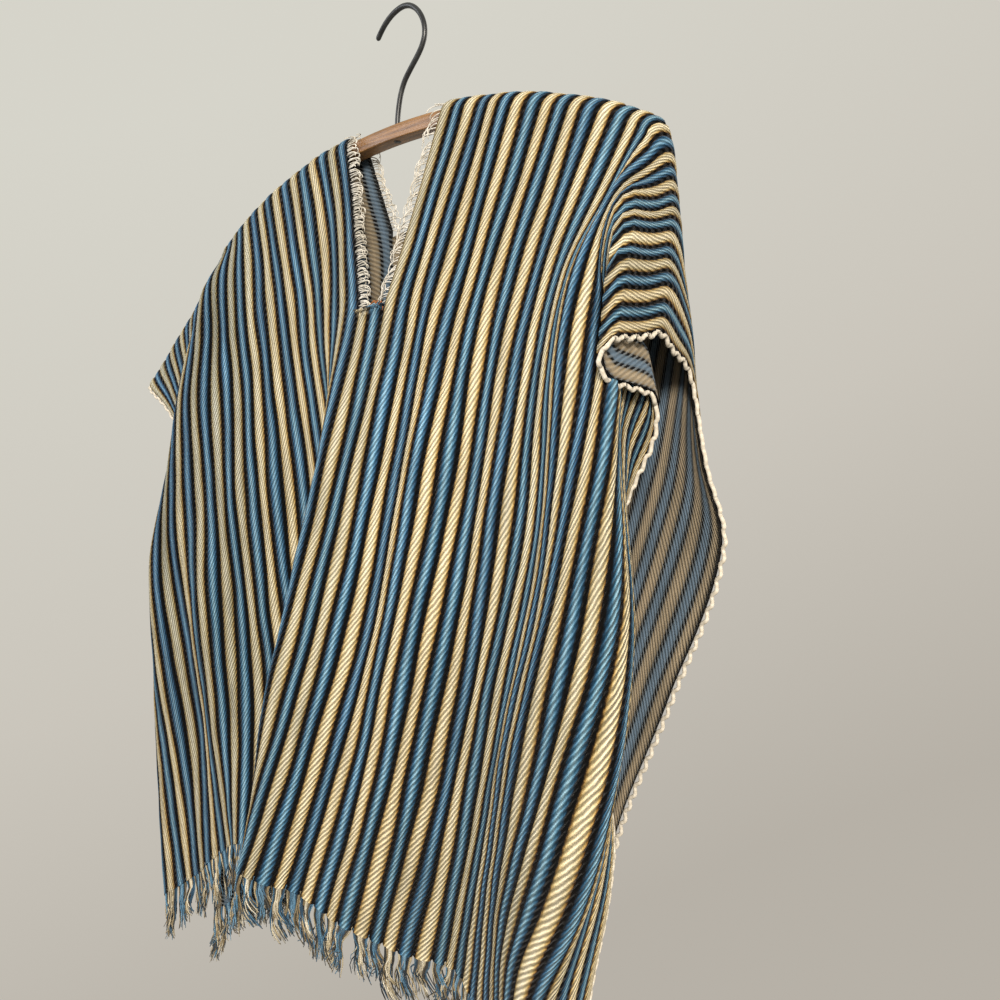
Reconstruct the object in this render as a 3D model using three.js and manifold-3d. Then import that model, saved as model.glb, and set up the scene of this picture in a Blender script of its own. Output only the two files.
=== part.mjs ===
// A fringed poncho folded over a wooden clothes hanger.
// Millimetres, +Z up, +X across the shoulders, +Y towards the wall behind.
// The origin is under the crown of the hook, where the hanger is held.
import * as THREE from 'three';
import Module from 'manifold-3d';

const wasm = await Module();
wasm.setup();
const { Manifold, Mesh: SolidMesh } = wasm;

// ---- driving sizes -------------------------------------------------------
const GAP = 0.3;             // parting between pieces that touch
const PAIR = 23.5;           // one blue rib and one cream rib
const EDGE_RIB = 15.75;      // selvedge, in pairs from the middle
const WARP = 565;            // shoulder to hem
const WALL = 2.0;            // cloth between two ribs
const RIB_RELIEF = 0.7;      // a rib stands this far above the cloth
const SLIT_RIB = 0.5;        // each slit edge, in pairs from the middle
const SLIT_FRONT = 150;      // neck slit, down the front
const SLIT_BACK = 90;        // neck slit, down the back
const NECK_HALF = 52.5;      // half the neck opening on the hanger
const SHOULDER_Z = -85;      // cloth on the hanger at the neck
const SLOPE = 0.094;         // shoulder slope at the neck
const BOW = 0.00137;         // growth of that slope outwards
const BAR_RIB = 8.4;         // hanger end, in pairs from the middle
const DROOP = 0.7;           // fall of the cloth beyond the hanger end
const FOLD_OVER = 14;        // cloth each side that turns over the bar

const BAR_HALF = 210;        // half the hanger bar
const BAR_HIGH = 13;
const BAR_THICK = 12;
const BAR_CROWN = 2.5;       // rise of the bar at the middle
const BAR_BOW = 0.00156;     // the bar falls away from the cloth a little
const WIRE_R = 1.95;         // hook wire
const STEM_X = -5;           // hook stem along the bar

const LOCK_LONG = 45;        // hem fringe
const LOCK_R = 3.2;
const HEM_GAP_FRONT = 1.6;   // each fringe's strip hangs this far under its hem
const HEM_GAP_BACK = 2.6;
const STRAND_LONG = 10;      // frayed slit edge
const STRAND_STEP = 11;
const STRIP = 1.8;           // backing strip of a fringe

// ---- the drape -----------------------------------------------------------
// One row for each fold line of the cloth. rib is where it lies, in pairs
// from the middle (left is negative). crest is its depth on the shoulder.
// x and y are its place at each distance of DOWN from the shoulder.
const DOWN = [0, 50, 100, 150, 250, 350, 450, 565];
const DEPTH_DOWN = [FOLD_OVER, 50, 100, 150, 250, 350, 450, 565];

const FRONT = [
  { fold: 'left selvedge', rib: -15.75, crest: -18,
    x: [-342, -304, -281, -270, -274, -280, -286, -292],
    y: [-20, -16, -10, -8, -12, -16, -18, -20] },
  { fold: 'left edge turn', rib: -14, crest: -13,
    x: [-313, -286, -266, -260, -266, -270, -272, -268],
    y: [-18, -18, -18, -24, -44, -48, -46, -42] },
  { fold: 'left bulge', rib: -12.5, crest: -9,
    x: [-288, -266, -250, -245, -246, -244, -244, -232],
    y: [-16, -20, -28, -44, -66, -60, -46, -38] },
  { fold: 'left bulge inner side', rib: -11, crest: -5,
    x: [-262, -246, -231, -224, -224, -212, -212, -203],
    y: [-14, -24, -44, -55, -58, -50, -36, -36] },
  { fold: 'shoulder end', rib: -9.5, crest: -2,
    x: [-236, -218, -206, -202, -192, -182, -180, -172],
    y: [-12, -32, -43, -49, -50, -54, -44, -34] },
  { fold: 'left shoulder', rib: -8, crest: 0,
    x: [-213, -203, -193, -178, -160, -155, -152, -146],
    y: [-9, -22, -27, -34, -41, -35, -31, -40] },
  { fold: 'left chest', rib: -6.5, crest: 0,
    x: [-187, -176, -166, -154, -128, -123, -121, -126],
    y: [-9, -12, -17, -20, -31, -23, -14, -22] },
  { fold: 'left trough', rib: -5, crest: 0,
    x: [-155, -142, -130, -123, -96, -90, -86, -102],
    y: [-9, -10, -12, -10, -16, -12, -8, -8] },
  { fold: 'left trough inner side', rib: -4, crest: 0,
    x: [-133, -119, -107, -103, -74, -68, -70, -84],
    y: [-9, -10, -10, -8, -12, -18, -21, -19] },
  { fold: 'behind the ridge', rib: -3, crest: 0,
    x: [-110, -96, -85, -80, -54, -53, -61, -75],
    y: [-9, -10, -10, -9, -18, -36, -42, -40] },
  { fold: 'ridge left flank', rib: -2, crest: 0,
    x: [-87, -72, -62, -58, -40, -44, -55, -70],
    y: [-9, -10, -12, -15, -36, -58, -65, -62] },
  { fold: 'ridge', rib: -1, crest: 0,
    x: [-64, -50, -41, -34, -23, -31, -45, -66],
    y: [-9, -11, -15, -22, -53, -73, -88, -85] },
  { fold: 'middle', rib: 0, crest: 0,
    x: [0, 0, -3, -6, -1, -10, -26, -57],
    y: [-9, -11, -16, -22, -46, -67, -86, -100] },
  { fold: 'ridge right flank', rib: 1, crest: 0,
    x: [64, 48, 34, 22, 22, 12, -8, -43],
    y: [-9, -11, -16, -23, -43, -61, -77, -91] },
  { fold: 'right chest', rib: 2, crest: 0,
    x: [87, 71, 57, 46, 45, 33, 10, -28],
    y: [-9, -11, -16, -22, -41, -54, -66, -74] },
  { fold: 'first soft ridge', rib: 3, crest: 0,
    x: [110, 94, 80, 69, 67, 55, 30, -8],
    y: [-9, -11, -15, -23, -48, -59, -63, -66] },
  { fold: 'first soft trough', rib: 4, crest: 0,
    x: [133, 117, 102, 92, 90, 76, 51, 10],
    y: [-9, -11, -15, -22, -44, -60, -62, -58] },
  { fold: 'second soft ridge', rib: 5, crest: 0,
    x: [155, 140, 124, 115, 111, 96, 68, 26],
    y: [-9, -12, -17, -24, -41, -53, -53, -43] },
  { fold: 'second soft trough', rib: 6, crest: 0,
    x: [176, 161, 146, 138, 133, 116, 86, 43],
    y: [-9, -14, -20, -29, -47, -47, -42, -32] },
  { fold: 'inner crease', rib: 7, crest: 0,
    x: [196, 182, 167, 160, 157, 135, 103, 63],
    y: [-9, -18, -29, -38, -51, -51, -36, -15] },
  { fold: 'right shoulder', rib: 8, crest: 0,
    x: [213, 200, 185, 179, 178, 154, 121, 82],
    y: [-10, -24, -43, -51, -62, -59, -38, -14] },
  { fold: 'crease', rib: 9, crest: -2,
    x: [219, 208, 198, 196, 194, 170, 139, 103],
    y: [-13, -38, -58, -68, -77, -76, -53, -23] },
  { fold: 'crease outer side', rib: 10, crest: -5,
    x: [223, 214, 208, 217, 210, 187, 157, 122],
    y: [-17, -46, -56, -74, -93, -92, -69, -32] },
  { fold: 'flap', rib: 11, crest: -10,
    x: [226, 219, 212, 229, 228, 208, 174, 142],
    y: [-22, -54, -52, -75, -98, -103, -83, -43] },
  { fold: 'flap front', rib: 12, crest: -16,
    x: [229, 223, 216, 226, 241, 224, 189, 160],
    y: [-29, -61, -46, -66, -92, -107, -93, -54] },
  { fold: 'flap edge', rib: 13, crest: -23,
    x: [231, 226, 223, 222, 240, 240, 206, 176],
    y: [-36, -69, -40, -58, -72, -98, -97, -66] },
  { fold: 'flap return', rib: 14, crest: -30,
    x: [233, 228, 230, 221, 227, 236, 217, 190],
    y: [-43, -76, -36, -48, -54, -79, -90, -76] },
  { fold: 'right selvedge', rib: 15.75, crest: -38,
    x: [236, 229, 237, 220, 188, 216, 210, 200],
    y: [-51, -83, -37, -38, -50, -44, -56, -64] },
];

const BACK = [
  { fold: 'left selvedge', rib: -15.75, crest: -18,
    x: [-342, -310, -296, -290, -288, -286, -282, -274],
    y: [-8, 5, 6, 6, 8, 8, 10, 10] },
  { fold: 'left edge ridge', rib: -13.5, crest: -11,
    x: [-305, -286, -272, -262, -254, -248, -242, -236],
    y: [0, 10, 8, 4, -2, -6, -8, -8] },
  { fold: 'left edge trough', rib: -11.5, crest: -6,
    x: [-271, -258, -244, -232, -222, -214, -208, -202],
    y: [6, 13, 14, 15, 15, 15, 15, 14] },
  { fold: 'left back ridge', rib: -9.5, crest: -2,
    x: [-236, -224, -210, -198, -186, -178, -172, -168],
    y: [9, 12, 10, 6, 0, -6, -8, -8] },
  { fold: 'left back trough', rib: -7, crest: 0,
    x: [-196, -182, -168, -156, -142, -134, -128, -126],
    y: [9, 11, 13, 14, 15, 16, 16, 15] },
  { fold: 'left back swell', rib: -5, crest: 0,
    x: [-155, -142, -128, -116, -104, -96, -92, -92],
    y: [9, 10, 11, 12, 13, 12, 12, 12] },
  { fold: 'inner back trough', rib: -3, crest: 0,
    x: [-110, -98, -86, -76, -68, -62, -60, -62],
    y: [9, 9, 10, 12, 15, 15, 15, 15] },
  { fold: 'inner back ridge', rib: -1, crest: 0,
    x: [-64, -48, -32, -28, -26, -26, -28, -34],
    y: [9, 9, 9, 8, 1, -6, -10, -10] },
  { fold: 'middle of the back', rib: 0, crest: 0,
    x: [0, -2, -6, -7, -8, -10, -14, -20],
    y: [9, 9, 9, 8, 2, -6, -10, -11] },
  { fold: 'right of the middle', rib: 1, crest: 0,
    x: [64, 44, 22, 16, 11, 6, 0, -6],
    y: [9, 9, 9, 8, 3, -4, -8, -9] },
  { fold: 'right back trough', rib: 3, crest: 0,
    x: [110, 92, 74, 62, 50, 44, 38, 34],
    y: [9, 9, 11, 13, 15, 16, 15, 14] },
  { fold: 'right back ridge', rib: 5, crest: 0,
    x: [155, 138, 118, 104, 88, 78, 68, 62],
    y: [9, 10, 10, 8, 2, -4, -6, -6] },
  { fold: 'right back trough', rib: 7, crest: 0,
    x: [196, 178, 158, 142, 120, 106, 94, 86],
    y: [9, 11, 13, 14, 15, 15, 14, 13] },
  { fold: 'right shoulder ridge', rib: 9, crest: -2,
    x: [219, 204, 186, 170, 148, 130, 116, 108],
    y: [9, 12, 12, 8, 0, -6, -4, 4] },
  { fold: 'right edge trough', rib: 11, crest: -10,
    x: [226, 216, 204, 192, 168, 148, 134, 126],
    y: [4, 12, 16, 16, 14, 12, 12, 12] },
  { fold: 'right edge ridge', rib: 13, crest: -23,
    x: [231, 228, 224, 218, 190, 166, 148, 140],
    y: [-10, 10, 14, 14, 8, 0, -4, -4] },
  { fold: 'right selvedge', rib: 15.75, crest: -38,
    x: [236, 234, 244, 257, 226, 192, 174, 164],
    y: [-26, 4, 4, 1, 2, 4, 6, 8] },
];

// The front hangs a little askew: its hem is lower to the right, by HANG_MORE
// at each rib of HANG_RIBS.
const HANG_RIBS = [-15.75, -12, -8, -5, -2, 1, 5, 9, 12, 15.75];
const HANG_MORE = [-26, -26, -22, -8, 6, 16, 33, 30, 18, 10];

// rows of the cloth, as distances from the shoulder
const FRONT_ROWS = [
  0, 7, 14, 32, 50, 75, 100, 125, SLIT_FRONT, 190, 235, 280, 335, 390, 450, 505, WARP,
];
const BACK_ROWS = [
  0, 7, 14, 32, 50, SLIT_BACK, 130, 170, 220, 280, 350, 420, 490, WARP,
];

// ---- helpers -------------------------------------------------------------
// smooth value at x through the marks xs, ys
function through(xs, ys, x) {
  const last = xs.length - 1;
  if (x <= xs[0]) return ys[0];
  if (x >= xs[last]) return ys[last];
  let i = 0;
  while (x > xs[i + 1]) i += 1;
  const slope = (k) => {
    const a = Math.max(k - 1, 0);
    const b = Math.min(k + 1, last);
    return (ys[b] - ys[a]) / (xs[b] - xs[a]);
  };
  const h = xs[i + 1] - xs[i];
  const u = (x - xs[i]) / h;
  const u2 = u * u;
  const u3 = u2 * u;
  return ys[i] * (2 * u3 - 3 * u2 + 1) + slope(i) * h * (u3 - 2 * u2 + u)
    + ys[i + 1] * (3 * u2 - 2 * u3) + slope(i + 1) * h * (u3 - u2);
}

// height of the cloth along the shoulder
function shoulderHeight(rib) {
  const along = Math.max(Math.abs(rib) - SLIT_RIB, 0) * PAIR;
  const onBar = (BAR_RIB - SLIT_RIB) * PAIR;
  const steps = 24;
  const step = Math.min(along, onBar) / steps;
  let x = 0;
  let z = SHOULDER_Z;
  for (let i = 0; i < steps; i += 1) {
    const slope = SLOPE + 2 * BOW * x;
    const dx = step / Math.hypot(1, slope);
    x += dx;
    z -= slope * dx;
  }
  return z - Math.max(along - onBar, 0) * DROOP;
}

// place across and depth of one warp on the shoulder line
function placeAtShoulder(panel, rib) {
  const side = Math.sign(rib);
  const rows = panel.folds.filter((row) => Math.sign(row.rib) === side);
  const edge = { rib: side * SLIT_RIB, crest: 0, x: [side * NECK_HALF] };
  const marks = side < 0 ? [...rows, edge] : [edge, ...rows];
  const ribs = marks.map((row) => row.rib);
  return [
    through(ribs, marks.map((row) => row.x[0]), rib),
    through(ribs, marks.map((row) => row.crest), rib),
  ];
}

// place across and depth of one warp at a distance down from the shoulder
function placeOf(panel, rib, down) {
  const half = panel.slit;
  const open = down < half;
  const u = Math.min(down / half, 1);
  const ribs = [];
  const xs = [];
  const ys = [];
  for (const row of panel.folds) {
    if (open && row.rib === 0) {
      // the slit edge stands in for the middle, on the side asked for
      const side = Math.sign(rib);
      ribs.push(side * SLIT_RIB);
      xs.push(through(DOWN, row.x, half) * u + side * (12 + (NECK_HALF - 12) * (1 - u)));
    } else if (open && Math.sign(row.rib) !== Math.sign(rib)) {
      continue;
    } else {
      ribs.push(row.rib);
      xs.push(through(DOWN, row.x, down));
    }
    ys.push(through(DEPTH_DOWN, row.y, down));
  }
  let x = through(ribs, xs, rib);
  let y = through(ribs, ys, rib);
  if (panel.shoulder && down < 50) {
    // front and back are one cloth, so they share the shoulder line
    x += (panel.shoulder(rib)[0] - placeAtShoulder(panel, rib)[0]) * (1 - down / 50);
  }
  if (down < FOLD_OVER) {
    const crest = (panel.shoulder ?? ((r) => placeAtShoulder(panel, r)))(rib)[1];
    const v = down / FOLD_OVER;
    const loose = Math.min(Math.max(Math.abs(rib) - BAR_RIB, 0) / 1.5, 1);
    const turn = Math.sin(v * Math.PI / 2) * (1 - loose) + v * loose;
    y = crest + (y - crest) * turn;
  }
  return [x, y];
}

// one warp from the shoulder to the hem, at the panel's rows
function warpLine(panel, rib) {
  if (Math.abs(rib) < SLIT_RIB) return middleWarp(panel, rib);
  return warpFrom(panel, rib, 0, shoulderHeight(rib));
}

// the cut rib starts at the end of the slit, level with both slit edges
function middleWarp(panel, rib) {
  const left = warpLine(panel, -SLIT_RIB);
  const right = warpLine(panel, SLIT_RIB);
  const end = panel.rows.indexOf(panel.slit);
  const share = (rib + SLIT_RIB) / (2 * SLIT_RIB);
  const height = left[end].z * (1 - share) + right[end].z * share;
  const above = left.slice(0, end).map((point, r) => point.clone().lerp(right[r], share));
  return [...above, ...warpFrom(panel, rib, panel.slit, height)];
}

function warpFrom(panel, rib, start, height) {
  const points = [];
  let [x, y] = placeOf(panel, rib, start);
  let z = height;
  let down = start;
  const more = panel.askew ? through(HANG_RIBS, HANG_MORE, rib) : 0;
  for (const row of panel.rows) {
    if (row < start) continue;
    const steps = Math.max(Math.ceil((row - down) / 3.5), 1);
    const step = (row - down) / steps;
    for (let i = 0; i < steps && step > 0; i += 1) {
      down += step;
      const [nx, ny] = placeOf(panel, rib, down);
      const along = step * (1 + more / WARP);
      const rest = along ** 2 - (nx - x) ** 2 - (ny - y) ** 2;
      z -= Math.sqrt(Math.max(rest, (0.12 * step) ** 2));
      x = nx;
      y = ny;
    }
    points.push(new THREE.Vector3(x, y, z));
  }
  return points;
}

function toSolid(points, faces) {
  const mesh = new SolidMesh({
    numProp: 3,
    vertProperties: new Float32Array(points.flatMap((p) => [p.x, p.y, p.z])),
    triVerts: new Uint32Array(faces.flat()),
  });
  mesh.merge();
  return new Manifold(mesh);
}

function toGeometry(solid) {
  const mesh = solid.getMesh();
  const geometry = new THREE.BufferGeometry();
  geometry.setAttribute('position', new THREE.BufferAttribute(mesh.vertProperties, 3));
  geometry.setIndex(new THREE.BufferAttribute(mesh.triVerts, 1));
  return geometry;
}

function plainGeometry(points, faces) {
  const geometry = new THREE.BufferGeometry();
  const flat = new Float32Array(points.flatMap((p) => [p.x, p.y, p.z]));
  geometry.setAttribute('position', new THREE.BufferAttribute(flat, 3));
  geometry.setIndex(faces.flat());
  return geometry;
}

// closed tube of rings that all have the same number of points
function ringFaces(ringCount, sides) {
  const faces = [];
  for (let r = 0; r < ringCount - 1; r += 1) {
    for (let k = 0; k < sides; k += 1) {
      const a = r * sides + k;
      const b = r * sides + (k + 1) % sides;
      faces.push([a, b, b + sides], [a, b + sides, a + sides]);
    }
  }
  for (let k = 1; k < sides - 1; k += 1) {
    faces.push([0, k + 1, k]);
    const end = (ringCount - 1) * sides;
    faces.push([end, end + k, end + k + 1]);
  }
  return faces;
}

// ---- cloth ---------------------------------------------------------------
const COLUMNS = [];
for (let rib = -EDGE_RIB; rib <= EDGE_RIB + 0.01; rib += 0.25) COLUMNS.push(rib);
const INNER = COLUMNS.map((rib, j) => j)
  .filter((j) => j === 0 || j === COLUMNS.length - 1 || COLUMNS[j] * 2 === Math.round(COLUMNS[j] * 2));
const LEFT_EDGE = COLUMNS.indexOf(-SLIT_RIB);
const RIGHT_EDGE = COLUMNS.indexOf(SLIT_RIB);

// grid of inner points and outward directions for one panel
function clothGrid(panel, other) {
  const lines = COLUMNS.map((rib) => warpLine(panel, rib));
  const across = COLUMNS.map((rib) => warpLine(other, rib)[2]);
  const slitRow = panel.rows.indexOf(panel.slit);
  const normals = lines.map((line, j) => line.map((point, r) => {
    const inSlit = r < slitRow;
    let a = Math.max(j - 1, 0);
    let b = Math.min(j + 1, COLUMNS.length - 1);
    if (inSlit && j === LEFT_EDGE) b = j;
    if (inSlit && j === RIGHT_EDGE) a = j;
    const weft = lines[b][r].clone().sub(lines[a][r]);
    const up = r === 0 ? across[j] : line[r - 1];
    const low = r === 0 ? line[2] : line[Math.min(r + 1, line.length - 1)];
    const warp = low.clone().sub(up);
    const n = warp.cross(weft).normalize();
    return panel.side < 0 ? n : n.negate();
  }));
  return { lines, normals, slitRow };
}

function clothPanel(panel, other) {
  const { lines, normals, slitRow } = clothGrid(panel, other);
  const last = panel.rows.length - 1;
  const points = [];
  const outer = [];
  const inner = [];
  const inSlit = (j, r) => r < slitRow && j > LEFT_EDGE && j < RIGHT_EDGE;
  for (let r = 0; r <= last; r += 1) {
    outer.push([]);
    inner.push([]);
    for (let j = 0; j < COLUMNS.length; j += 1) {
      if (inSlit(j, r)) continue;
      const base = lines[j][r].clone();
      if (r === 0) base.y += panel.side * GAP / 2;
      const onRib = COLUMNS[j] * 2 === Math.round(COLUMNS[j] * 2);
      const lift = WALL + (onRib ? RIB_RELIEF : 0);
      outer[r][j] = points.push(base.clone().addScaledVector(normals[j][r], lift)) - 1;
      if (INNER.includes(j)) inner[r][j] = points.push(base) - 1;
    }
  }
  const faces = [];
  const tri = (a, b, c) => faces.push(panel.side < 0 ? [a, b, c] : [a, c, b]);
  const openCell = (a, b, r) => r < slitRow && a >= LEFT_EDGE && b <= RIGHT_EDGE;
  for (let r = 0; r < last; r += 1) {
    for (let j = 0; j < COLUMNS.length - 1; j += 1) {
      if (openCell(j, j + 1, r)) continue;
      tri(outer[r][j], outer[r + 1][j], outer[r + 1][j + 1]);
      tri(outer[r][j], outer[r + 1][j + 1], outer[r][j + 1]);
    }
    for (let i = 0; i < INNER.length - 1; i += 1) {
      const a = INNER[i];
      const b = INNER[i + 1];
      if (openCell(a, b, r)) continue;
      tri(inner[r][a], inner[r + 1][b], inner[r + 1][a]);
      tri(inner[r][a], inner[r][b], inner[r + 1][b]);
    }
  }
  // a border along a row: top borders face up, bottom borders face down
  const rowBorder = (r, from, to, top) => {
    for (let i = 0; i < INNER.length - 1; i += 1) {
      const a = INNER[i];
      const b = INNER[i + 1];
      if (a < from || b > to) continue;
      for (let j = a; j < b; j += 1) {
        if (top) tri(outer[r][j], outer[r][j + 1], inner[r][a]);
        else tri(outer[r][j + 1], outer[r][j], inner[r][a]);
      }
      if (top) tri(outer[r][b], inner[r][b], inner[r][a]);
      else tri(inner[r][b], outer[r][b], inner[r][a]);
    }
  };
  rowBorder(0, 0, LEFT_EDGE, true);
  rowBorder(0, RIGHT_EDGE, COLUMNS.length - 1, true);
  rowBorder(slitRow, LEFT_EDGE, RIGHT_EDGE, true);
  rowBorder(last, 0, COLUMNS.length - 1, false);
  // a border down a column: left borders face left, right borders face right
  const columnBorder = (j, from, to, left) => {
    for (let r = from; r < to; r += 1) {
      if (left) {
        tri(outer[r][j], inner[r][j], inner[r + 1][j]);
        tri(outer[r][j], inner[r + 1][j], outer[r + 1][j]);
      } else {
        tri(outer[r][j], inner[r + 1][j], inner[r][j]);
        tri(outer[r][j], outer[r + 1][j], inner[r + 1][j]);
      }
    }
  };
  columnBorder(0, 0, last, true);
  columnBorder(COLUMNS.length - 1, 0, last, false);
  columnBorder(LEFT_EDGE, 0, slitRow, false);
  columnBorder(RIGHT_EDGE, 0, slitRow, true);
  return plainGeometry(points, faces);
}

// ---- fringes -------------------------------------------------------------
// a lock or strand: three-sided, tapering along a bent path
function strandSolid(path, radii, side) {
  const points = [];
  path.forEach((centre, r) => {
    const along = path[Math.min(r + 1, path.length - 1)].clone()
      .sub(path[Math.max(r - 1, 0)]).normalize();
    const u = side.clone().addScaledVector(along, -side.dot(along)).normalize();
    const v = along.clone().cross(u);
    for (let k = 0; k < 3; k += 1) {
      const angle = k / 3 * Math.PI * 2 + Math.PI / 2;
      points.push(centre.clone()
        .addScaledVector(u, radii[r] * Math.cos(angle))
        .addScaledVector(v, radii[r] * Math.sin(angle)));
    }
  });
  return toSolid(points, ringFaces(path.length, 3));
}

// the narrow strip that a fringe hangs from: boxes along a line of stations
function stripSolid(stations, depth, away, thick) {
  const points = [];
  for (const at of stations) {
    for (const [d, n] of [[GAP, -1], [GAP, 1], [GAP + depth, 1], [GAP + depth, -1]]) {
      points.push(at.point.clone()
        .addScaledVector(at[away], d)
        .addScaledVector(at.normal, n * thick / 2));
    }
  }
  const solid = toSolid(points, ringFaces(stations.length, 4));
  if (solid.volume() > 0) return solid;
  return toSolid(points, ringFaces(stations.length, 4).map(([a, b, c]) => [a, c, b]));
}

function hemFringe(panel, other) {
  const { lines, normals } = clothGrid(panel, other);
  const last = panel.rows.length - 1;
  const stations = INNER.map((j) => {
    const normal = normals[j][last];
    const point = lines[j][last].clone().addScaledVector(normal, WALL / 2);
    const hemLine = lines[Math.min(j + 2, COLUMNS.length - 1)][last].clone()
      .sub(lines[Math.max(j - 2, 0)][last]).normalize();
    const down = hemLine.clone().cross(normal).normalize();
    if (down.z > 0) down.negate();
    const across = hemLine.setZ(0).normalize();
    return { point: point.addScaledVector(down, panel.hemGap - GAP), normal, down, across };
  });
  const strip = stripSolid(stations, STRIP, 'down', STRIP);
  const rooted = stations.filter((at, i) => i % 2 === 1);
  const locks = rooted.map((at, i) => {
    const sway = Math.sin(i * 2.3 + panel.side) * 2.2;
    const lean = Math.cos(i * 1.7) * 2.0;
    const long = LOCK_LONG * (0.86 + 0.14 * Math.sin(i * 1.9 + 1));
    const root = at.point.clone().addScaledVector(at.down, GAP + 0.6);
    const drop = new THREE.Vector3(0, 0, -1);
    const place = (d, s, n) => root.clone().addScaledVector(drop, d)
      .addScaledVector(at.across, s).addScaledVector(at.normal, n);
    const path = [
      root,
      place(long * 0.45, sway * 0.8, lean),
      place(long, -sway, lean * 0.4),
    ];
    return strandSolid(path, [LOCK_R, LOCK_R * 0.85, 0.6], at.across);
  });
  return toGeometry(Manifold.union([strip, ...locks]));
}

// frayed wefts along one slit edge
function slitFray(panel, other, edge) {
  const { lines, normals, slitRow } = clothGrid(panel, other);
  const j = edge < 0 ? LEFT_EDGE : RIGHT_EDGE;
  const stations = [];
  for (let r = 1; r < slitRow; r += 1) {
    const normal = normals[j][r];
    const point = lines[j][r].clone().addScaledVector(normal, WALL / 2);
    const along = lines[j][r + 1].clone().sub(lines[j][r - 1]).normalize();
    const inward = along.clone().cross(normal).normalize();
    if (inward.x * edge > 0) inward.negate();
    stations.push({ point, normal, inward, along });
  }
  const strip = stripSolid(stations, 1.4, 'inward', 1.2);
  const strands = [];
  for (let s = 0; s < stations.length - 1; s += 1) {
    const a = stations[s];
    const b = stations[s + 1];
    const count = Math.max(Math.round(a.point.distanceTo(b.point) / STRAND_STEP), 1);
    for (let i = 0; i < count; i += 1) {
      const u = (i + 0.5) / count;
      const root = a.point.clone().lerp(b.point, u).addScaledVector(a.inward, GAP + 0.7);
      const long = STRAND_LONG * (0.8 + 0.2 * Math.sin((s * 3 + i) * 2.1));
      const tip = root.clone().addScaledVector(a.inward, long * 0.8)
        .addScaledVector(a.along, long * 0.45)
        .addScaledVector(a.normal, 0.6 * Math.sin(s + i * 1.3));
      strands.push(strandSolid([root, tip], [0.55, 0.3], a.normal));
    }
  }
  return toGeometry(Manifold.union([strip, ...strands]));
}

// ---- hanger --------------------------------------------------------------
function barTop(x) {
  const out = Math.abs(x) - NECK_HALF;
  if (out <= 0) return SHOULDER_Z + BAR_CROWN * (1 - (x / NECK_HALF) ** 2);
  return SHOULDER_Z - SLOPE * out - BAR_BOW * out * out;
}

function hangerBar() {
  const half = BAR_THICK / 2;
  const low = -BAR_HIGH;
  const section = [
    [0, -0.5], [-3.2, -1.8], [-half, -4.8], [-half, low + 1.2], [-half + 1.2, low],
    [half - 1.2, low], [half, low + 1.2], [half, -4.8], [3.2, -1.8],
  ];
  const points = [];
  const stations = 19;
  for (let i = 0; i < stations; i += 1) {
    const x = -BAR_HALF + (2 * BAR_HALF * i) / (stations - 1);
    const tilt = (barTop(x + 1) - barTop(x - 1)) / 2;
    const length = Math.hypot(1, tilt);
    const end = i === 0 || i === stations - 1 ? 0.8 : 1;
    for (const [y, d] of section) {
      const depth = low / 2 + (d - low / 2) * end;
      points.push(new THREE.Vector3(
        x - (tilt / length) * depth,
        y * end,
        barTop(x) + depth / length,
      ));
    }
  }
  const body = toSolid(points, ringFaces(stations, section.length));
  const hole = Manifold.cylinder(40, WIRE_R + GAP, WIRE_R + GAP, 16)
    .translate([STEM_X, 0, SHOULDER_Z - 25]);
  return toGeometry(body.subtract(hole));
}

// bent wire: crown over the origin, then down to the bar
function hangerHook() {
  const crown = WIRE_R;
  const line = [
    [-28, crown - 16], [-24, crown - 11.2], [-19.4, crown - 6.8], [-13.4, crown - 3],
    [-6.8, crown - 0.7], [0, crown], [7, crown - 1.8], [13.6, crown - 6.4],
    [18.8, crown - 13], [21.9, crown - 20.5], [22.3, crown - 28], [19.8, crown - 34.6],
    [15.2, crown - 40.6], [8.4, crown - 47.6], [2.4, crown - 54.6], [-1.6, crown - 63],
    [-3.9, crown - 73], [STEM_X, crown - 83], [STEM_X, SHOULDER_Z - 9],
  ];
  const path = line.map(([x, z]) => new THREE.Vector3(x, 0, z));
  const points = [];
  const sides = 8;
  path.forEach((centre, r) => {
    const along = path[Math.min(r + 1, path.length - 1)].clone()
      .sub(path[Math.max(r - 1, 0)]).normalize();
    const u = new THREE.Vector3(0, 1, 0);
    const v = along.clone().cross(u);
    for (let k = 0; k < sides; k += 1) {
      const angle = k / sides * Math.PI * 2;
      points.push(centre.clone()
        .addScaledVector(u, WIRE_R * Math.cos(angle))
        .addScaledVector(v, WIRE_R * Math.sin(angle)));
    }
  });
  return plainGeometry(points, ringFaces(path.length, sides));
}

// ---- the object ----------------------------------------------------------
const front = {
  folds: FRONT,
  rows: FRONT_ROWS,
  slit: SLIT_FRONT,
  side: -1,
  hemGap: HEM_GAP_FRONT,
  askew: true,
};
const back = {
  folds: BACK,
  rows: BACK_ROWS,
  slit: SLIT_BACK,
  side: 1,
  hemGap: HEM_GAP_BACK,
  askew: false,
  shoulder: (rib) => placeAtShoulder(front, rib),
};

const group = new THREE.Group();
group.name = 'poncho_on_hanger';

function add(name, geometry, color, roughness, metalness = 0) {
  const material = new THREE.MeshStandardMaterial({ color, roughness, metalness });
  material.name = name;
  const mesh = new THREE.Mesh(geometry, material);
  mesh.name = name;
  group.add(mesh);
}

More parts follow.
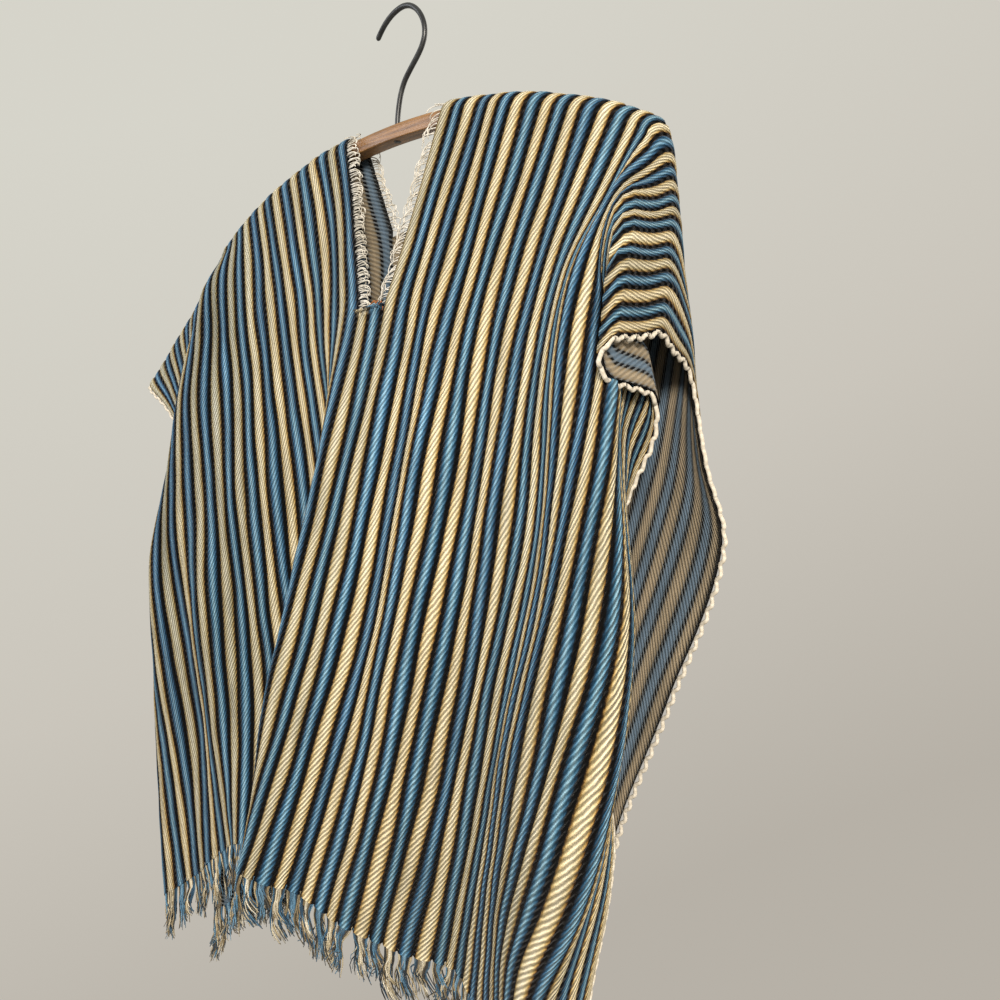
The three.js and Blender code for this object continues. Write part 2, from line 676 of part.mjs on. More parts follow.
add('cloth_front', clothPanel(front, back), '#6f8fa6', 0.9);
add('cloth_back', clothPanel(back, front), '#6f8fa6', 0.9);
add('hem_fringe_front', hemFringe(front, back), '#b9ab8c', 0.95);
add('hem_fringe_back', hemFringe(back, front), '#b9ab8c', 0.95);
add('slit_fray_front_left', slitFray(front, back, -1), '#d8d2c4', 0.95);
add('slit_fray_front_right', slitFray(front, back, 1), '#d8d2c4', 0.95);
add('slit_fray_back_left', slitFray(back, front, -1), '#d8d2c4', 0.95);
add('slit_fray_back_right', slitFray(back, front, 1), '#d8d2c4', 0.95);
add('hanger_bar', hangerBar(), '#8a5f3f', 0.6);
add('hanger_hook', hangerHook(), '#26282a', 0.45, 0.8);

export default group;
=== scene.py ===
"""A fringed poncho of blue and cream ribs, folded over a wooden clothes hanger."""
import math

import bpy
import numpy as np
from mathutils import Matrix, Vector


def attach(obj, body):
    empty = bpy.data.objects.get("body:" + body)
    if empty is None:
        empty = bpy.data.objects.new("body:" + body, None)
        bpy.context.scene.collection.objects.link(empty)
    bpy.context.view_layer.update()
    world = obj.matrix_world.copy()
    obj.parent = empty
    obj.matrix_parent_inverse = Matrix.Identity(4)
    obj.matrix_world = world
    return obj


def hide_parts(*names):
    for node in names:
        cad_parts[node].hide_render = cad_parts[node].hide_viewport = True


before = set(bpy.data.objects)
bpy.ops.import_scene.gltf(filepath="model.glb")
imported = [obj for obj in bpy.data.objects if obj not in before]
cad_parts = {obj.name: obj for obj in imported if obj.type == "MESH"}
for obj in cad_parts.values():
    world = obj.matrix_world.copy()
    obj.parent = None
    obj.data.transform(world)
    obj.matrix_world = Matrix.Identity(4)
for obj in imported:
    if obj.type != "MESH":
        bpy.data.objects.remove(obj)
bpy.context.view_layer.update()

MM = 0.001
rng = np.random.default_rng(7)

# ---- real sizes, in millimetres ----
PAIR = 23.5           # one blue rib and one cream rib
EDGE_RIB = 15.75      # selvedge, in pairs from the middle
WARP = 565.0          # shoulder to hem
SLIT_LEFT = -0.75     # the slit's edges, in pairs
SLIT_RIGHT = 0.25
SLIT_HALF = 0.5       # the same edges, centred
SLIT_FOOT_HALF = 12.0    # in millimetres, where the slit ends
SLIT_FRONT = 150.0    # how far it is cut down each panel
SLIT_BACK = 90.0
NECK_HALF = 52.5      # half the neck, on the shoulder
SHOULDER_Z = -85.0    # the shoulder line there
SLOPE = 0.094         # its fall beside the neck
BOW = 0.00137         # and its growth outwards
BAR_RIB = 8.4         # the rib over each end of the bar, in pairs
DROOP = 0.7           # the shoulder's fall beyond the bar
FOLD_OVER = 14.0      # each panel's share of the turn over the bar
MEET = 50.0           # down to here the back takes after the front

BASE_WALL = 1.3       # cloth between two ribs
RIB_HIGH = 2.4        # a rib's crown above that
WARP_STEP = 3.5       # a warp is followed in steps of this size

CORD_R = 1.25         # the selvedge's yarn
CORD_LIFT = 2.1       # its middle over the cloth's inner face
CORD_OUT = 1.9        # and beyond the last warp
CORD_SWING = 1.15     # how far it waves to each side of that
CORD_WAVE = 9.5       # one wave, along the edge
LOCK_LONG = 46.0      # a lock of the fringe, before it varies
YARN_R = 0.58         # a loose warp end

BAR_HALF = 210.0
BAR_HIGH = 13.0
BAR_THICK = 12.0
BAR_CROWN = 2.5       # the bar's rise between the shoulders
BAR_BOW = 0.00156
WIRE_R = 1.95
STEM_X = -5.0

# ---- the drape ----
# The front hangs a little askew: its hem is lower to the right.
HANG_RIBS = [-15.75, -12, -8, -5, -2, 1, 5, 9, 12, 15.75]
HANG_MORE = [-26, -26, -19, 10, 12, 16, 33, 30, 18, 10]

# One row for each fold line: its name, its rib, its depth on the shoulder,
# then its place across and its depth at each distance of DOWN.
DOWN = [0, 50, 100, 150, 250, 350, 450, 565]
DEPTH_DOWN = [FOLD_OVER, 50, 100, 150, 250, 350, 450, 565]

FRONT = [
    ("left selvedge", -15.75, -18,
     [-342, -304, -281, -270, -274, -280, -286, -292], [-20, -16, -10, -8, -12, -16, -18, -20]),
    ("left edge turn", -14, -13,
     [-313, -286, -266, -260, -266, -270, -272, -268], [-18, -18, -18, -24, -44, -48, -46, -42]),
    ("left bulge", -12.5, -9,
     [-288, -266, -250, -245, -246, -244, -244, -232], [-16, -20, -28, -44, -66, -60, -46, -38]),
    ("left bulge inner side", -11, -5,
     [-262, -246, -231, -224, -224, -212, -212, -203], [-14, -24, -44, -55, -58, -50, -36, -36]),
    ("shoulder end", -9.5, -2,
     [-236, -218, -206, -202, -192, -182, -180, -172], [-12, -32, -43, -49, -50, -54, -44, -34]),
    ("left shoulder", -8, 0,
     [-213, -203, -193, -178, -160, -155, -152, -146], [-9, -22, -27, -34, -41, -35, -31, -40]),
    ("left chest", -6.5, 0,
     [-187, -176, -166, -154, -128, -123, -121, -126], [-9, -12, -17, -20, -31, -23, -14, -22]),
    ("left trough", -5, 0,
     [-155, -142, -130, -123, -96, -90, -86, -102], [-9, -10, -12, -10, -16, -12, -8, -8]),
    ("left trough inner side", -4, 0,
     [-133, -119, -107, -103, -74, -68, -70, -84], [-9, -10, -10, -8, -12, -18, -21, -19]),
    ("behind the ridge", -3, 0,
     [-110, -96, -85, -80, -54, -53, -61, -75], [-9, -10, -10, -9, -18, -36, -42, -40]),
    ("ridge left flank", -2, 0,
     [-87, -72, -62, -58, -40, -44, -55, -70], [-9, -10, -12, -15, -36, -58, -65, -62]),
    ("ridge", -1, 0,
     [-64, -50, -41, -34, -23, -31, -45, -66], [-9, -11, -15, -22, -53, -73, -88, -85]),
    ("middle", 0, 0,
     [0, 0, -3, -6, -1, -10, -26, -57], [-9, -11, -16, -22, -46, -67, -86, -100]),
    ("ridge right flank", 1, 0,
     [64, 48, 34, 22, 22, 12, -8, -43], [-9, -11, -16, -23, -43, -61, -77, -91]),
    ("right chest", 2, 0,
     [87, 71, 57, 46, 45, 33, 10, -28], [-9, -11, -16, -22, -41, -54, -66, -74]),
    ("first soft ridge", 3, 0,
     [110, 94, 80, 69, 67, 55, 30, -8], [-9, -11, -15, -23, -48, -59, -63, -66]),
    ("first soft trough", 4, 0,
     [133, 117, 102, 92, 90, 76, 51, 10], [-9, -11, -15, -22, -44, -60, -62, -58]),
    ("second soft ridge", 5, 0,
     [155, 140, 124, 115, 111, 96, 68, 26], [-9, -12, -17, -24, -41, -53, -53, -43]),
    ("second soft trough", 6, 0,
     [176, 161, 146, 138, 133, 116, 86, 43], [-9, -14, -20, -29, -47, -47, -42, -32]),
    ("inner crease", 7, 0,
     [196, 182, 167, 160, 157, 135, 103, 63], [-9, -18, -29, -38, -51, -51, -36, -15]),
    ("right shoulder", 8, 0,
     [213, 200, 185, 179, 178, 154, 121, 82], [-10, -24, -43, -51, -62, -59, -38, -14]),
    ("crease", 9, -2,
     [219, 208, 198, 196, 194, 170, 139, 103], [-13, -38, -58, -68, -77, -76, -53, -23]),
    ("crease outer side", 10, -5,
     [223, 214, 208, 217, 210, 187, 157, 122], [-17, -46, -56, -74, -93, -92, -69, -32]),
    ("flap", 11, -10,
     [226, 219, 212, 229, 228, 208, 174, 142], [-22, -54, -52, -75, -98, -103, -83, -43]),
    ("flap front", 12, -16,
     [229, 223, 216, 226, 241, 224, 189, 160], [-29, -61, -46, -66, -92, -107, -93, -54]),
    ("flap edge", 13, -23,
     [231, 226, 223, 222, 240, 240, 206, 176], [-36, -69, -40, -58, -72, -98, -97, -66]),
    ("flap return", 14, -30,
     [233, 228, 230, 221, 227, 231, 212, 187], [-43, -76, -36, -48, -54, -79, -90, -76]),
    ("right selvedge", 15.75, -38,
     [236, 229, 237, 220, 188, 216, 209, 198], [-51, -83, -37, -38, -50, -44, -56, -64]),
]

BACK = [
    ("left selvedge", -15.75, -18,
     [-342, -310, -296, -290, -288, -286, -282, -274], [-8, 5, 6, 6, 8, 8, 10, 10]),
    ("left edge ridge", -13.5, -11,
     [-305, -286, -272, -262, -254, -248, -242, -236], [0, 10, 8, 4, -2, -6, -8, -8]),
    ("left edge trough", -11.5, -6,
     [-271, -258, -244, -232, -222, -214, -208, -202], [6, 13, 14, 15, 15, 15, 15, 14]),
    ("left back ridge", -9.5, -2,
     [-236, -224, -210, -198, -186, -178, -172, -168], [9, 12, 10, 6, 0, -6, -8, -8]),
    ("left back trough", -7, 0,
     [-196, -182, -168, -156, -142, -134, -128, -126], [9, 11, 13, 14, 15, 16, 16, 15]),
    ("left back swell", -5, 0,
     [-155, -142, -128, -116, -104, -96, -92, -92], [9, 10, 11, 12, 13, 12, 12, 12]),
    ("inner back trough", -3, 0,
     [-110, -98, -86, -76, -68, -62, -60, -62], [9, 9, 10, 12, 15, 15, 15, 15]),
    ("inner back ridge", -1, 0,
     [-64, -48, -32, -28, -26, -26, -28, -34], [9, 9, 9, 8, 1, -6, -10, -10]),
    ("middle of the back", 0, 0,
     [0, -2, -6, -7, -8, -10, -14, -20], [9, 9, 9, 8, 2, -6, -10, -11]),
    ("right of the middle", 1, 0,
     [64, 44, 22, 16, 11, 6, 0, -6], [9, 9, 9, 8, 3, -4, -8, -9]),
    ("right back trough", 3, 0,
     [110, 92, 74, 62, 50, 44, 38, 34], [9, 9, 11, 13, 15, 16, 15, 14]),
    ("right back ridge", 5, 0,
     [155, 138, 118, 104, 88, 78, 68, 62], [9, 10, 10, 8, 2, -4, -6, -6]),
    ("right outer trough", 7, 0,
     [196, 178, 158, 142, 120, 106, 94, 86], [9, 11, 13, 14, 15, 15, 14, 13]),
    ("right shoulder ridge", 9, -2,
     [219, 204, 186, 170, 148, 130, 116, 108], [9, 12, 12, 8, 0, -6, -4, 4]),
    ("right edge trough", 11, -10,
     [226, 216, 204, 192, 168, 148, 134, 126], [4, 12, 16, 16, 14, 12, 12, 12]),
    ("right edge ridge", 13, -23,
     [231, 228, 224, 218, 190, 166, 148, 140], [-10, 10, 14, 14, 8, 0, -4, -4]),
    ("right selvedge", 15.75, -38,
     [236, 234, 244, 257, 226, 192, 174, 164], [-26, 4, 4, 1, 2, 4, 6, 8]),
]


def through(marks, values, at):
    """Smooth values at `at` through the marks."""
    marks = np.asarray(marks, float)
    values = np.asarray(values, float)
    last = len(marks) - 1
    k = np.arange(last + 1)
    a, b = np.maximum(k - 1, 0), np.minimum(k + 1, last)
    slope = (values[b] - values[a]) / (marks[b] - marks[a])
    i = np.clip(np.searchsorted(marks, at, side="left") - 1, 0, last - 1)
    h = marks[i + 1] - marks[i]
    u = np.clip((at - marks[i]) / h, 0, 1)
    return (values[i] * (2 * u**3 - 3 * u**2 + 1) + slope[i] * h * (u**3 - 2 * u**2 + u)
            + values[i + 1] * (3 * u**2 - 2 * u**3) + slope[i + 1] * h * (u**3 - u**2))


def ease(t):
    """0 to 1, with a soft start and a soft end."""
    t = np.clip(t, 0, 1)
    return t * t * (3 - 2 * t)


def nearest(columns, rib):
    return int(np.argmin(np.abs(columns - rib)))


def unit(vector):
    return vector / np.linalg.norm(vector)


def shoulder_height(rib):
    """The shoulder line's height where a rib crosses it."""
    along = np.maximum(np.abs(rib) - SLIT_HALF, 0) * PAIR
    on_bar = (BAR_RIB - SLIT_HALF) * PAIR
    steps = 24
    step = np.minimum(along, on_bar) / steps
    x = np.zeros_like(along)
    z = np.full_like(along, SHOULDER_Z)
    for _ in range(steps):
        slope = SLOPE + 2 * BOW * x
        dx = step / np.hypot(1, slope)
        x += dx
        z -= slope * dx
    return z - np.maximum(along - on_bar, 0) * DROOP


class Panel:
    """The front or the back, as it hangs."""

    def __init__(self, folds, slit, side, shoulder=None):
        self.slit, self.side, self.shoulder = slit, side, shoulder
        self.ribs = np.array([row[1] for row in folds], float)
        self.crest = np.array([row[2] for row in folds], float)
        self.x = np.array([row[3] for row in folds], float)
        self.y = np.array([row[4] for row in folds], float)
        self.middle = int(np.where(self.ribs == 0)[0][0])

    def at_shoulder(self, rib):
        """Across and depth of each rib on the shoulder line."""
        return self.in_halves(rib, self.x[:, 0], self.crest, 0, NECK_HALF, 0)

    def in_halves(self, rib, xs, ys, middle, half, depth):
        """Left and right of the slit apart, whose edges lie `half` off its middle."""
        x, y = np.zeros_like(rib), np.zeros_like(rib)
        for side in (-1, 1):
            rows = np.sign(self.ribs) == side
            put = 0 if side > 0 else int(rows.sum())
            ribs = np.insert(self.ribs[rows], put, side * SLIT_HALF)
            here = rib < 0 if side < 0 else rib >= 0
            x[here] = through(ribs, np.insert(xs[rows], put, middle + side * half), rib[here])
            y[here] = through(ribs, np.insert(ys[rows], put, depth), rib[here])
        return x, y

    def place(self, rib, down):
        """Across and depth of each rib at a distance down, open at the slit."""
        fold_x = np.array([through(DOWN, row, down) for row in self.x])
        fold_y = np.array([through(DEPTH_DOWN, row, down) for row in self.y])
        if down < self.slit:
            share = down / self.slit
            middle = through(DOWN, self.x[self.middle], self.slit) * share
            half = SLIT_FOOT_HALF + (NECK_HALF - SLIT_FOOT_HALF) * (1 - share)
            x, y = self.in_halves(rib, fold_x, fold_y, middle, half, fold_y[self.middle])
        else:
            x = through(self.ribs, fold_x, rib)
            y = through(self.ribs, fold_y, rib)
        lead = self.shoulder or self
        if self.shoulder and down < MEET:
            x = x + (lead.at_shoulder(rib)[0] - self.at_shoulder(rib)[0]) * (1 - down / MEET)
        if down < FOLD_OVER:
            crest = lead.at_shoulder(rib)[1]
            v = down / FOLD_OVER
            loose = np.clip((np.abs(rib) - BAR_RIB) / 1.5, 0, 1)
            turn = math.sin(v * math.pi / 2) * (1 - loose) + v * loose
            y = crest + (y - crest) * turn
        return x, y

    def lines(self, ribs_at, columns, rows):
        """Points of every warp at every row, each warp keeping its length."""
        points = np.zeros((len(rows), len(columns), 3))
        middle = (columns > SLIT_LEFT + 1e-6) & (columns < SLIT_RIGHT - 1e-6)
        left, right = nearest(columns, SLIT_LEFT), nearest(columns, SLIT_RIGHT)
        rib = ribs_at(columns, 0.0, self)
        x, y = self.place(rib, 0.0)
        z = shoulder_height(rib)
        share = 1 + (0 if self.shoulder else through(HANG_RIBS, HANG_MORE, columns) / WARP)
        down = 0.0
        for r, row in enumerate(rows):
            steps = max(math.ceil((row - down) / WARP_STEP), 1)
            step = (row - down) / steps
            for _ in range(steps if step > 0 else 0):
                down += step
                nx, ny = self.place(ribs_at(columns, down, self), down)
                rest = (step * share)**2 - (nx - x)**2 - (ny - y)**2
                z = z - np.sqrt(np.maximum(rest, (0.12 * step)**2))
                x, y = nx, ny
            down = row
            if row <= self.slit:
                across = (columns - SLIT_LEFT) / (SLIT_RIGHT - SLIT_LEFT)
                z[middle] = (z[left] * (1 - across) + z[right] * across)[middle]
            points[r] = np.stack([x, y, z], axis=1)
        return points


front = Panel(FRONT, SLIT_FRONT, -1)
back = Panel(BACK, SLIT_BACK, 1, front)

# ---- columns and rows of the woven length ----
# Each rib has six columns: the gap beside it, its two flanks and its crown.
ACROSS_RIB = [0.0, 0.05, 0.13, 0.25, 0.37, 0.45]
RISE = [0.0, 0.70, 0.95, 1.0, 0.95, 0.70]
RIBS = int(round(2 * EDGE_RIB / 0.5))
COLUMNS = np.array([-EDGE_RIB + 0.5 * k + a for k in range(RIBS) for a in ACROSS_RIB] + [EDGE_RIB])
RELIEF = np.array(RISE * RIBS + [0.0])
LEFT, RIGHT = nearest(COLUMNS, SLIT_LEFT), nearest(COLUMNS, SLIT_RIGHT)
INNER = np.arange(0, len(COLUMNS), 3)

NEAR_TOP = [0, 1.5, 3, 5, 7, 9, 11.5, 14, 17.5, 22, 28]  # close rows, over the turn
ROW = 7.0             # and the rows below them


def rows_of(slit):
    """Distances down a panel, with one row at the slit's foot."""
    top = NEAR_TOP[-1]
    below = np.linspace(top, slit, int(round((slit - top) / ROW)) + 1)[1:]
    lower = np.linspace(slit, WARP, int(round((WARP - slit) / ROW)) + 1)[1:]
    return np.concatenate([NEAR_TOP, below, lower])


GAPS = np.arange(-EDGE_RIB, EDGE_RIB + 0.01, 0.5)
PHASE = rng.uniform(0, 2 * math.pi, (3, len(GAPS)))
WAVES = [(0.036, 61.0), (0.026, 27.0), (0.012, 12.0)]   # pairs, millimetres


def ribs_at(columns, down, panel):
    """Where each rib lies at a distance down: packed a little unevenly, and
    drawn across to the slit, which was cut beside a blue rib."""
    along = -panel.side * down
    drift = sum(size * np.sin(along / long + PHASE[k]) for k, (size, long) in enumerate(WAVES))
    drift[0] = drift[-1] = 0
    on_slit = np.isclose(GAPS, SLIT_LEFT) | np.isclose(GAPS, SLIT_RIGHT)
    drift[on_slit] *= ease((down - panel.slit) / 60)
    near = ease(1 - (np.abs(columns + 0.25) - 0.5) / 4.0) * (1 - ease((down - panel.slit) / 110))
    return columns + np.interp(columns, GAPS, drift) + 0.25 * near


front_rows = rows_of(SLIT_FRONT)
back_rows = rows_of(SLIT_BACK)
front_lines = front.lines(ribs_at, COLUMNS, front_rows)
back_lines = back.lines(ribs_at, COLUMNS, back_rows)
sheet_points = np.concatenate([front_lines[::-1], back_lines[1:]])
sheet_along = np.concatenate([front_rows[::-1], -back_rows[1:]])    # front +, back -
slit_rows = (sheet_along < SLIT_FRONT - 1e-6) & (sheet_along > -SLIT_BACK + 1e-6)

# Beyond the bar the fold over the shoulder is soft, not a crease.
soft = ease((np.abs(COLUMNS) - BAR_RIB) / 2.0)[None, :] * ease(1 - np.abs(sheet_along) / 34.0)[:, None]
for _ in range(14):
    eased = sheet_points.copy()
    eased[1:-1] = (sheet_points[:-2] + 2 * sheet_points[1:-1] + sheet_points[2:]) / 4
    sheet_points += (eased - sheet_points) * soft[..., None]


def outward(points):
    """The cloth's outward direction at every point, with the slit left open."""
    across = np.zeros_like(points)
    across[:, 1:-1] = points[:, 2:] - points[:, :-2]
    across[:, [0, -1]] = points[:, [1, -1]] - points[:, [0, -2]]
    across[slit_rows, LEFT] = (points[:, LEFT] - points[:, LEFT - 2])[slit_rows]
    across[slit_rows, RIGHT] = (points[:, RIGHT + 2] - points[:, RIGHT])[slit_rows]
    along = np.zeros_like(points)
    along[1:-1] = points[2:] - points[:-2]
    along[[0, -1]] = points[[1, -1]] - points[[0, -2]]
    normal = np.cross(across, along)
    return normal / np.maximum(np.linalg.norm(normal, axis=2, keepdims=True), 1e-9)


sheet_normals = outward(sheet_points)


# ---- meshes ----
def new_mesh(name, points, faces, uvs=None, material_of=None):
    """A smooth mesh object from points in millimetres."""
    mesh = bpy.data.meshes.new(name)
    mesh.from_pydata((np.asarray(points) * MM).tolist(), [], faces)
    mesh.polygons.foreach_set("use_smooth", [True] * len(mesh.polygons))
    if uvs is not None:
        layer = mesh.uv_layers.new(name="cloth")
        index = np.zeros(len(mesh.loops), int)
        mesh.loops.foreach_get("vertex_index", index)
        layer.data.foreach_set("uv", np.asarray(uvs)[index].ravel())
    if material_of is not None:
        mesh.polygons.foreach_set("material_index", material_of)
    mesh.update()
    piece = bpy.data.objects.new(name, mesh)
    bpy.context.scene.collection.objects.link(piece)
    return piece


def woven_length():
    """The whole cloth: ribbed outside, flatter inside, open at the slit."""
    rows, cols = sheet_points.shape[:2]
    along = sheet_along[:, None]
    swell = 1 + 0.10 * np.sin(along / 19.0 + COLUMNS * 2.3) + 0.06 * np.sin(along / 7.3 + COLUMNS * 5.1)
    lift = BASE_WALL + RIB_HIGH * RELIEF * swell
    outer = sheet_points + sheet_normals * lift[..., None]
    inner = sheet_points[:, INNER]
    points = np.concatenate([outer.reshape(-1, 3), inner.reshape(-1, 3)])
    uvs = np.concatenate([
        np.stack([np.tile(ribs, rows), np.repeat(sheet_along / PAIR, len(ribs))], axis=1)
        for ribs in (COLUMNS, COLUMNS[INNER])])
    shift = rows * cols

    def out(r, j):
        return r * cols + j

    def inn(r, i):
        return shift + r * len(INNER) + i

    faces, kind = [], []
    in_slit = slit_rows[:-1] | slit_rows[1:]
    for r in range(rows - 1):
        for j in range(cols - 1):
            if in_slit[r] and LEFT <= j < RIGHT:
                continue
            faces.append((out(r, j), out(r, j + 1), out(r + 1, j + 1), out(r + 1, j)))
        kind += [0] * (len(faces) - len(kind))
        for i in range(len(INNER) - 1):
            if in_slit[r] and LEFT <= INNER[i] < RIGHT:
                continue
            faces.append((inn(r, i), inn(r + 1, i), inn(r + 1, i + 1), inn(r, i + 1)))
        kind += [1] * (len(faces) - len(kind))

    def row_border(r, low, high, upper):
        for i in range(len(INNER) - 1):
            a, b = INNER[i], INNER[i + 1]
            if a < low or b > high:
                continue
            ring = [inn(r, i + 1), inn(r, i)] + [out(r, j) for j in range(a, b + 1)]
            faces.append(tuple(ring[::-1] if upper else ring))

    def column_border(j, picked, right_side):
        i = j // 3
        for r in picked:
            ring = (out(r, j), inn(r, i), inn(r + 1, i), out(r + 1, j))
            faces.append(ring[::-1] if right_side else ring)

    row_border(0, 0, cols - 1, False)
    row_border(rows - 1, 0, cols - 1, True)
    open_rows = np.where(in_slit)[0]
    row_border(int(open_rows[0]), LEFT, RIGHT, True)
    row_border(int(open_rows[-1]) + 1, LEFT, RIGHT, False)
    column_border(0, range(rows - 1), False)
    column_border(cols - 1, range(rows - 1), True)
    column_border(LEFT, open_rows, True)
    column_border(RIGHT, open_rows, False)
    kind += [0] * (len(faces) - len(kind))
    used = np.zeros(len(points), bool)
    for face in faces:
        used[list(face)] = True
    number = np.cumsum(used) - 1
    faces = [tuple(int(number[v]) for v in face) for face in faces]
    return new_mesh("poncho_cloth", points[used], faces, uvs[used], kind)


def loft(rings, sides, first=0, turned=False):
    """Faces of a tube through rings of points, with both ends closed."""
    faces = []
    for s in range(rings - 1):
        for k in range(sides):
            a = first + s * sides + k
            b = first + s * sides + (k + 1) % sides
            faces.append((a, a + sides, b + sides, b) if turned else (a, b, b + sides, a + sides))
    last = first + (rings - 1) * sides
    ends = tuple(range(first, first + sides))[::-1], tuple(range(last, last + sides))
    return faces + [end[::-1] if turned else end for end in ends]


def tubes(name, paths, radii, sides, uvs=None):
    """Many yarns as one mesh. paths: (yarns, stations, 3), radii: (yarns, stations)."""
    paths, radii = np.asarray(paths, float), np.asarray(radii, float)
    yarns, stations = paths.shape[:2]
    tangent = np.gradient(paths, axis=1)
    tangent /= np.maximum(np.linalg.norm(tangent, axis=2, keepdims=True), 1e-9)
    guide = np.where(np.abs(tangent[..., 1:2]) > 0.9, [1.0, 0, 0], [0, 1.0, 0])
    side = np.cross(tangent, guide)
    side /= np.maximum(np.linalg.norm(side, axis=2, keepdims=True), 1e-9)
    other = np.cross(tangent, side)
    angle = np.arange(sides) / sides * 2 * math.pi
    ring = (side[:, :, None] * np.cos(angle)[None, None, :, None]
            + other[:, :, None] * np.sin(angle)[None, None, :, None])
    points = paths[:, :, None] + ring * radii[:, :, None, None]
    faces = []
    for y in range(yarns):
        faces += loft(stations, sides, y * stations * sides)
    flat = None
    if uvs is not None:
        flat = np.repeat(np.asarray(uvs, float).reshape(-1, 2), sides, axis=0)
    return new_mesh(name, points.reshape(-1, 3), faces, flat)


DOWNWARDS = np.array([0, 0, -1.0])


def run_of(points):
    """How far along a line each of its points lies."""
    return np.concatenate([[0], np.cumsum(np.linalg.norm(np.diff(points, axis=0), axis=1))])


def edge_cord(name, column, outside):
    """The selvedge: wefts turned back round the last warps, as a wavy cord."""
    edge, normals = sheet_points[:, column], sheet_normals[:, column]
    base = edge + normals * CORD_LIFT
    along = run_of(base)
    fine = np.arange(0, along[-1], 1.2)

    def at_fine(values):
        return np.stack([np.interp(fine, along, values[:, k]) for k in range(3)], axis=1)

    out = at_fine(edge - sheet_points[:, column - outside * 3])
    out /= np.linalg.norm(out, axis=1, keepdims=True)
    beat = fine / CORD_WAVE * 2 * math.pi + 0.8 * np.sin(fine / 31)
    path = (at_fine(base) + out * (CORD_OUT + CORD_SWING * np.sin(beat))[:, None]
            + at_fine(normals) * (0.3 * np.cos(beat + 0.6))[:, None])
    uv = np.stack([np.zeros(len(fine)), fine / PAIR], axis=1)
    return tubes(name, path[None], np.full((1, len(fine)), CORD_R), 8, uv[None])


def hem_threads(name, row, above, per_rib):
    """Loose warp ends under a hem, gathered into one wavy lock for each rib."""
    paths, radii, uvs = [], [], []
    stations = 10
    s = np.linspace(0, 1, stations)
    for rib in range(RIBS):
        centre = -EDGE_RIB + 0.5 * rib + 0.25
        lock_long = LOCK_LONG * rng.uniform(0.80, 1.05)
        lock_sway = rng.uniform(-8.0, 6.0)
        lock_wave = rng.uniform(0, 6.28)
        lock_depth = rng.uniform(-5.0, 3.0)
        for _ in range(per_rib):
            spread = rng.uniform(-0.235, 0.235)
            column = np.interp(centre + spread, COLUMNS, np.arange(len(COLUMNS)))
            j, f = int(column), column - int(column)
            j2 = min(j + 1, len(COLUMNS) - 1)
            root = sheet_points[row, j] * (1 - f) + sheet_points[row, j2] * f
            normal = sheet_normals[row, j]
            height = rng.uniform(0.4, 2.2)
            root = root + normal * height
            start = unit(sheet_points[row, j] - sheet_points[above, j])
            beside = min(j + 3, len(COLUMNS) - 1)
            across = unit(sheet_points[row, beside] - sheet_points[row, max(j - 3, 0)])
            long = lock_long * rng.choice([0.7, 0.9, 1.0]) * rng.uniform(0.9, 1.08)
            stray = rng.normal(0, 2.2)
            blend = ease(s * 1.6)[:, None]
            step = long / (stations - 1)
            direction = start * (1 - blend) + DOWNWARDS * blend
            direction /= np.linalg.norm(direction, axis=1, keepdims=True)
            hanging = np.concatenate([[[0, 0, 0]], np.cumsum(direction[:-1] * step, axis=0)])
            path = root - start * 3 + hanging
            pinch = -spread * PAIR * 0.42 * np.sin(s * math.pi * 0.7)
            fan = spread * PAIR * 0.9 * np.maximum(s - 0.45, 0)
            own = rng.uniform(0, 6.28)
            wave = ((lock_sway + stray) * s**1.5 + 2.6 * s * np.sin(lock_wave + s * 7.5)
                    + 1.3 * s * np.sin(own + s * 12))
            depth = (lock_depth * s**1.4 - (height - 1.3) * 0.6 * s
                     + 2.0 * s * np.sin(lock_wave * 1.7 + s * 6.2) + 1.2 * s * np.cos(own + s * 11))
            path = path + across * (pinch + fan + wave)[:, None] + normal * depth[:, None]
            paths.append(path)
            radii.append(YARN_R * (1 - 0.5 * s**3) * rng.uniform(0.75, 1.25))
            uv_along = s * 2 + rng.uniform(0, 3)
            uvs.append(np.stack([np.full(stations, centre + spread * 1.7), uv_along], axis=1))
    return tubes(name, paths, radii, 4, uvs)


def slit_yarns(name, column, inward, rows, step, long, droop, curl, loose):
    """Cut wefts along one side of the slit, `step` apart: each is `long`, sags
    by `droop`, curls off the cloth and leans up or down by up to `loose`."""
    picked = np.where(rows)[0]
    edge = sheet_points[picked, column]
    along = run_of(edge)
    paths, radii, uvs = [], [], []
    stations = 8
    s = np.linspace(0, 1, stations)
    at = 0.0
    while at < along[-1]:
        root = np.array([np.interp(at, along, edge[:, k]) for k in range(3)])
        row = picked[min(int(np.searchsorted(along, at)), len(picked) - 1)]
        normal = sheet_normals[row, column]
        into = unit(sheet_points[row, column] - sheet_points[row, column - inward * 4])
        down = unit(DOWNWARDS + normal * normal[2])     # along the cloth
        length = long * rng.uniform(0.7, 1.15)
        lean = rng.uniform(-loose, loose)
        bend = droop * rng.uniform(0.6, 1.3)
        roll = curl * rng.uniform(0.4, 1.4)
        path = (root - into * 1.5 + normal * rng.uniform(0.5, 1.9)
                + into * (length * np.sin(s * 1.9) * 0.85)[:, None]
                + down * (length * (bend * s**1.8 + lean * s))[:, None]
                + normal * (roll * np.sin(s * 2.6) + 0.25 * np.sin(s * 5 + at))[:, None])
        paths.append(path)
        radii.append((0.50 - 0.18 * s) * rng.uniform(0.8, 1.2))
        uvs.append(np.stack([np.full(stations, at), s], axis=1))
        at += step * rng.uniform(0.6, 1.4)
    return tubes(name, paths, radii, 4, uvs)


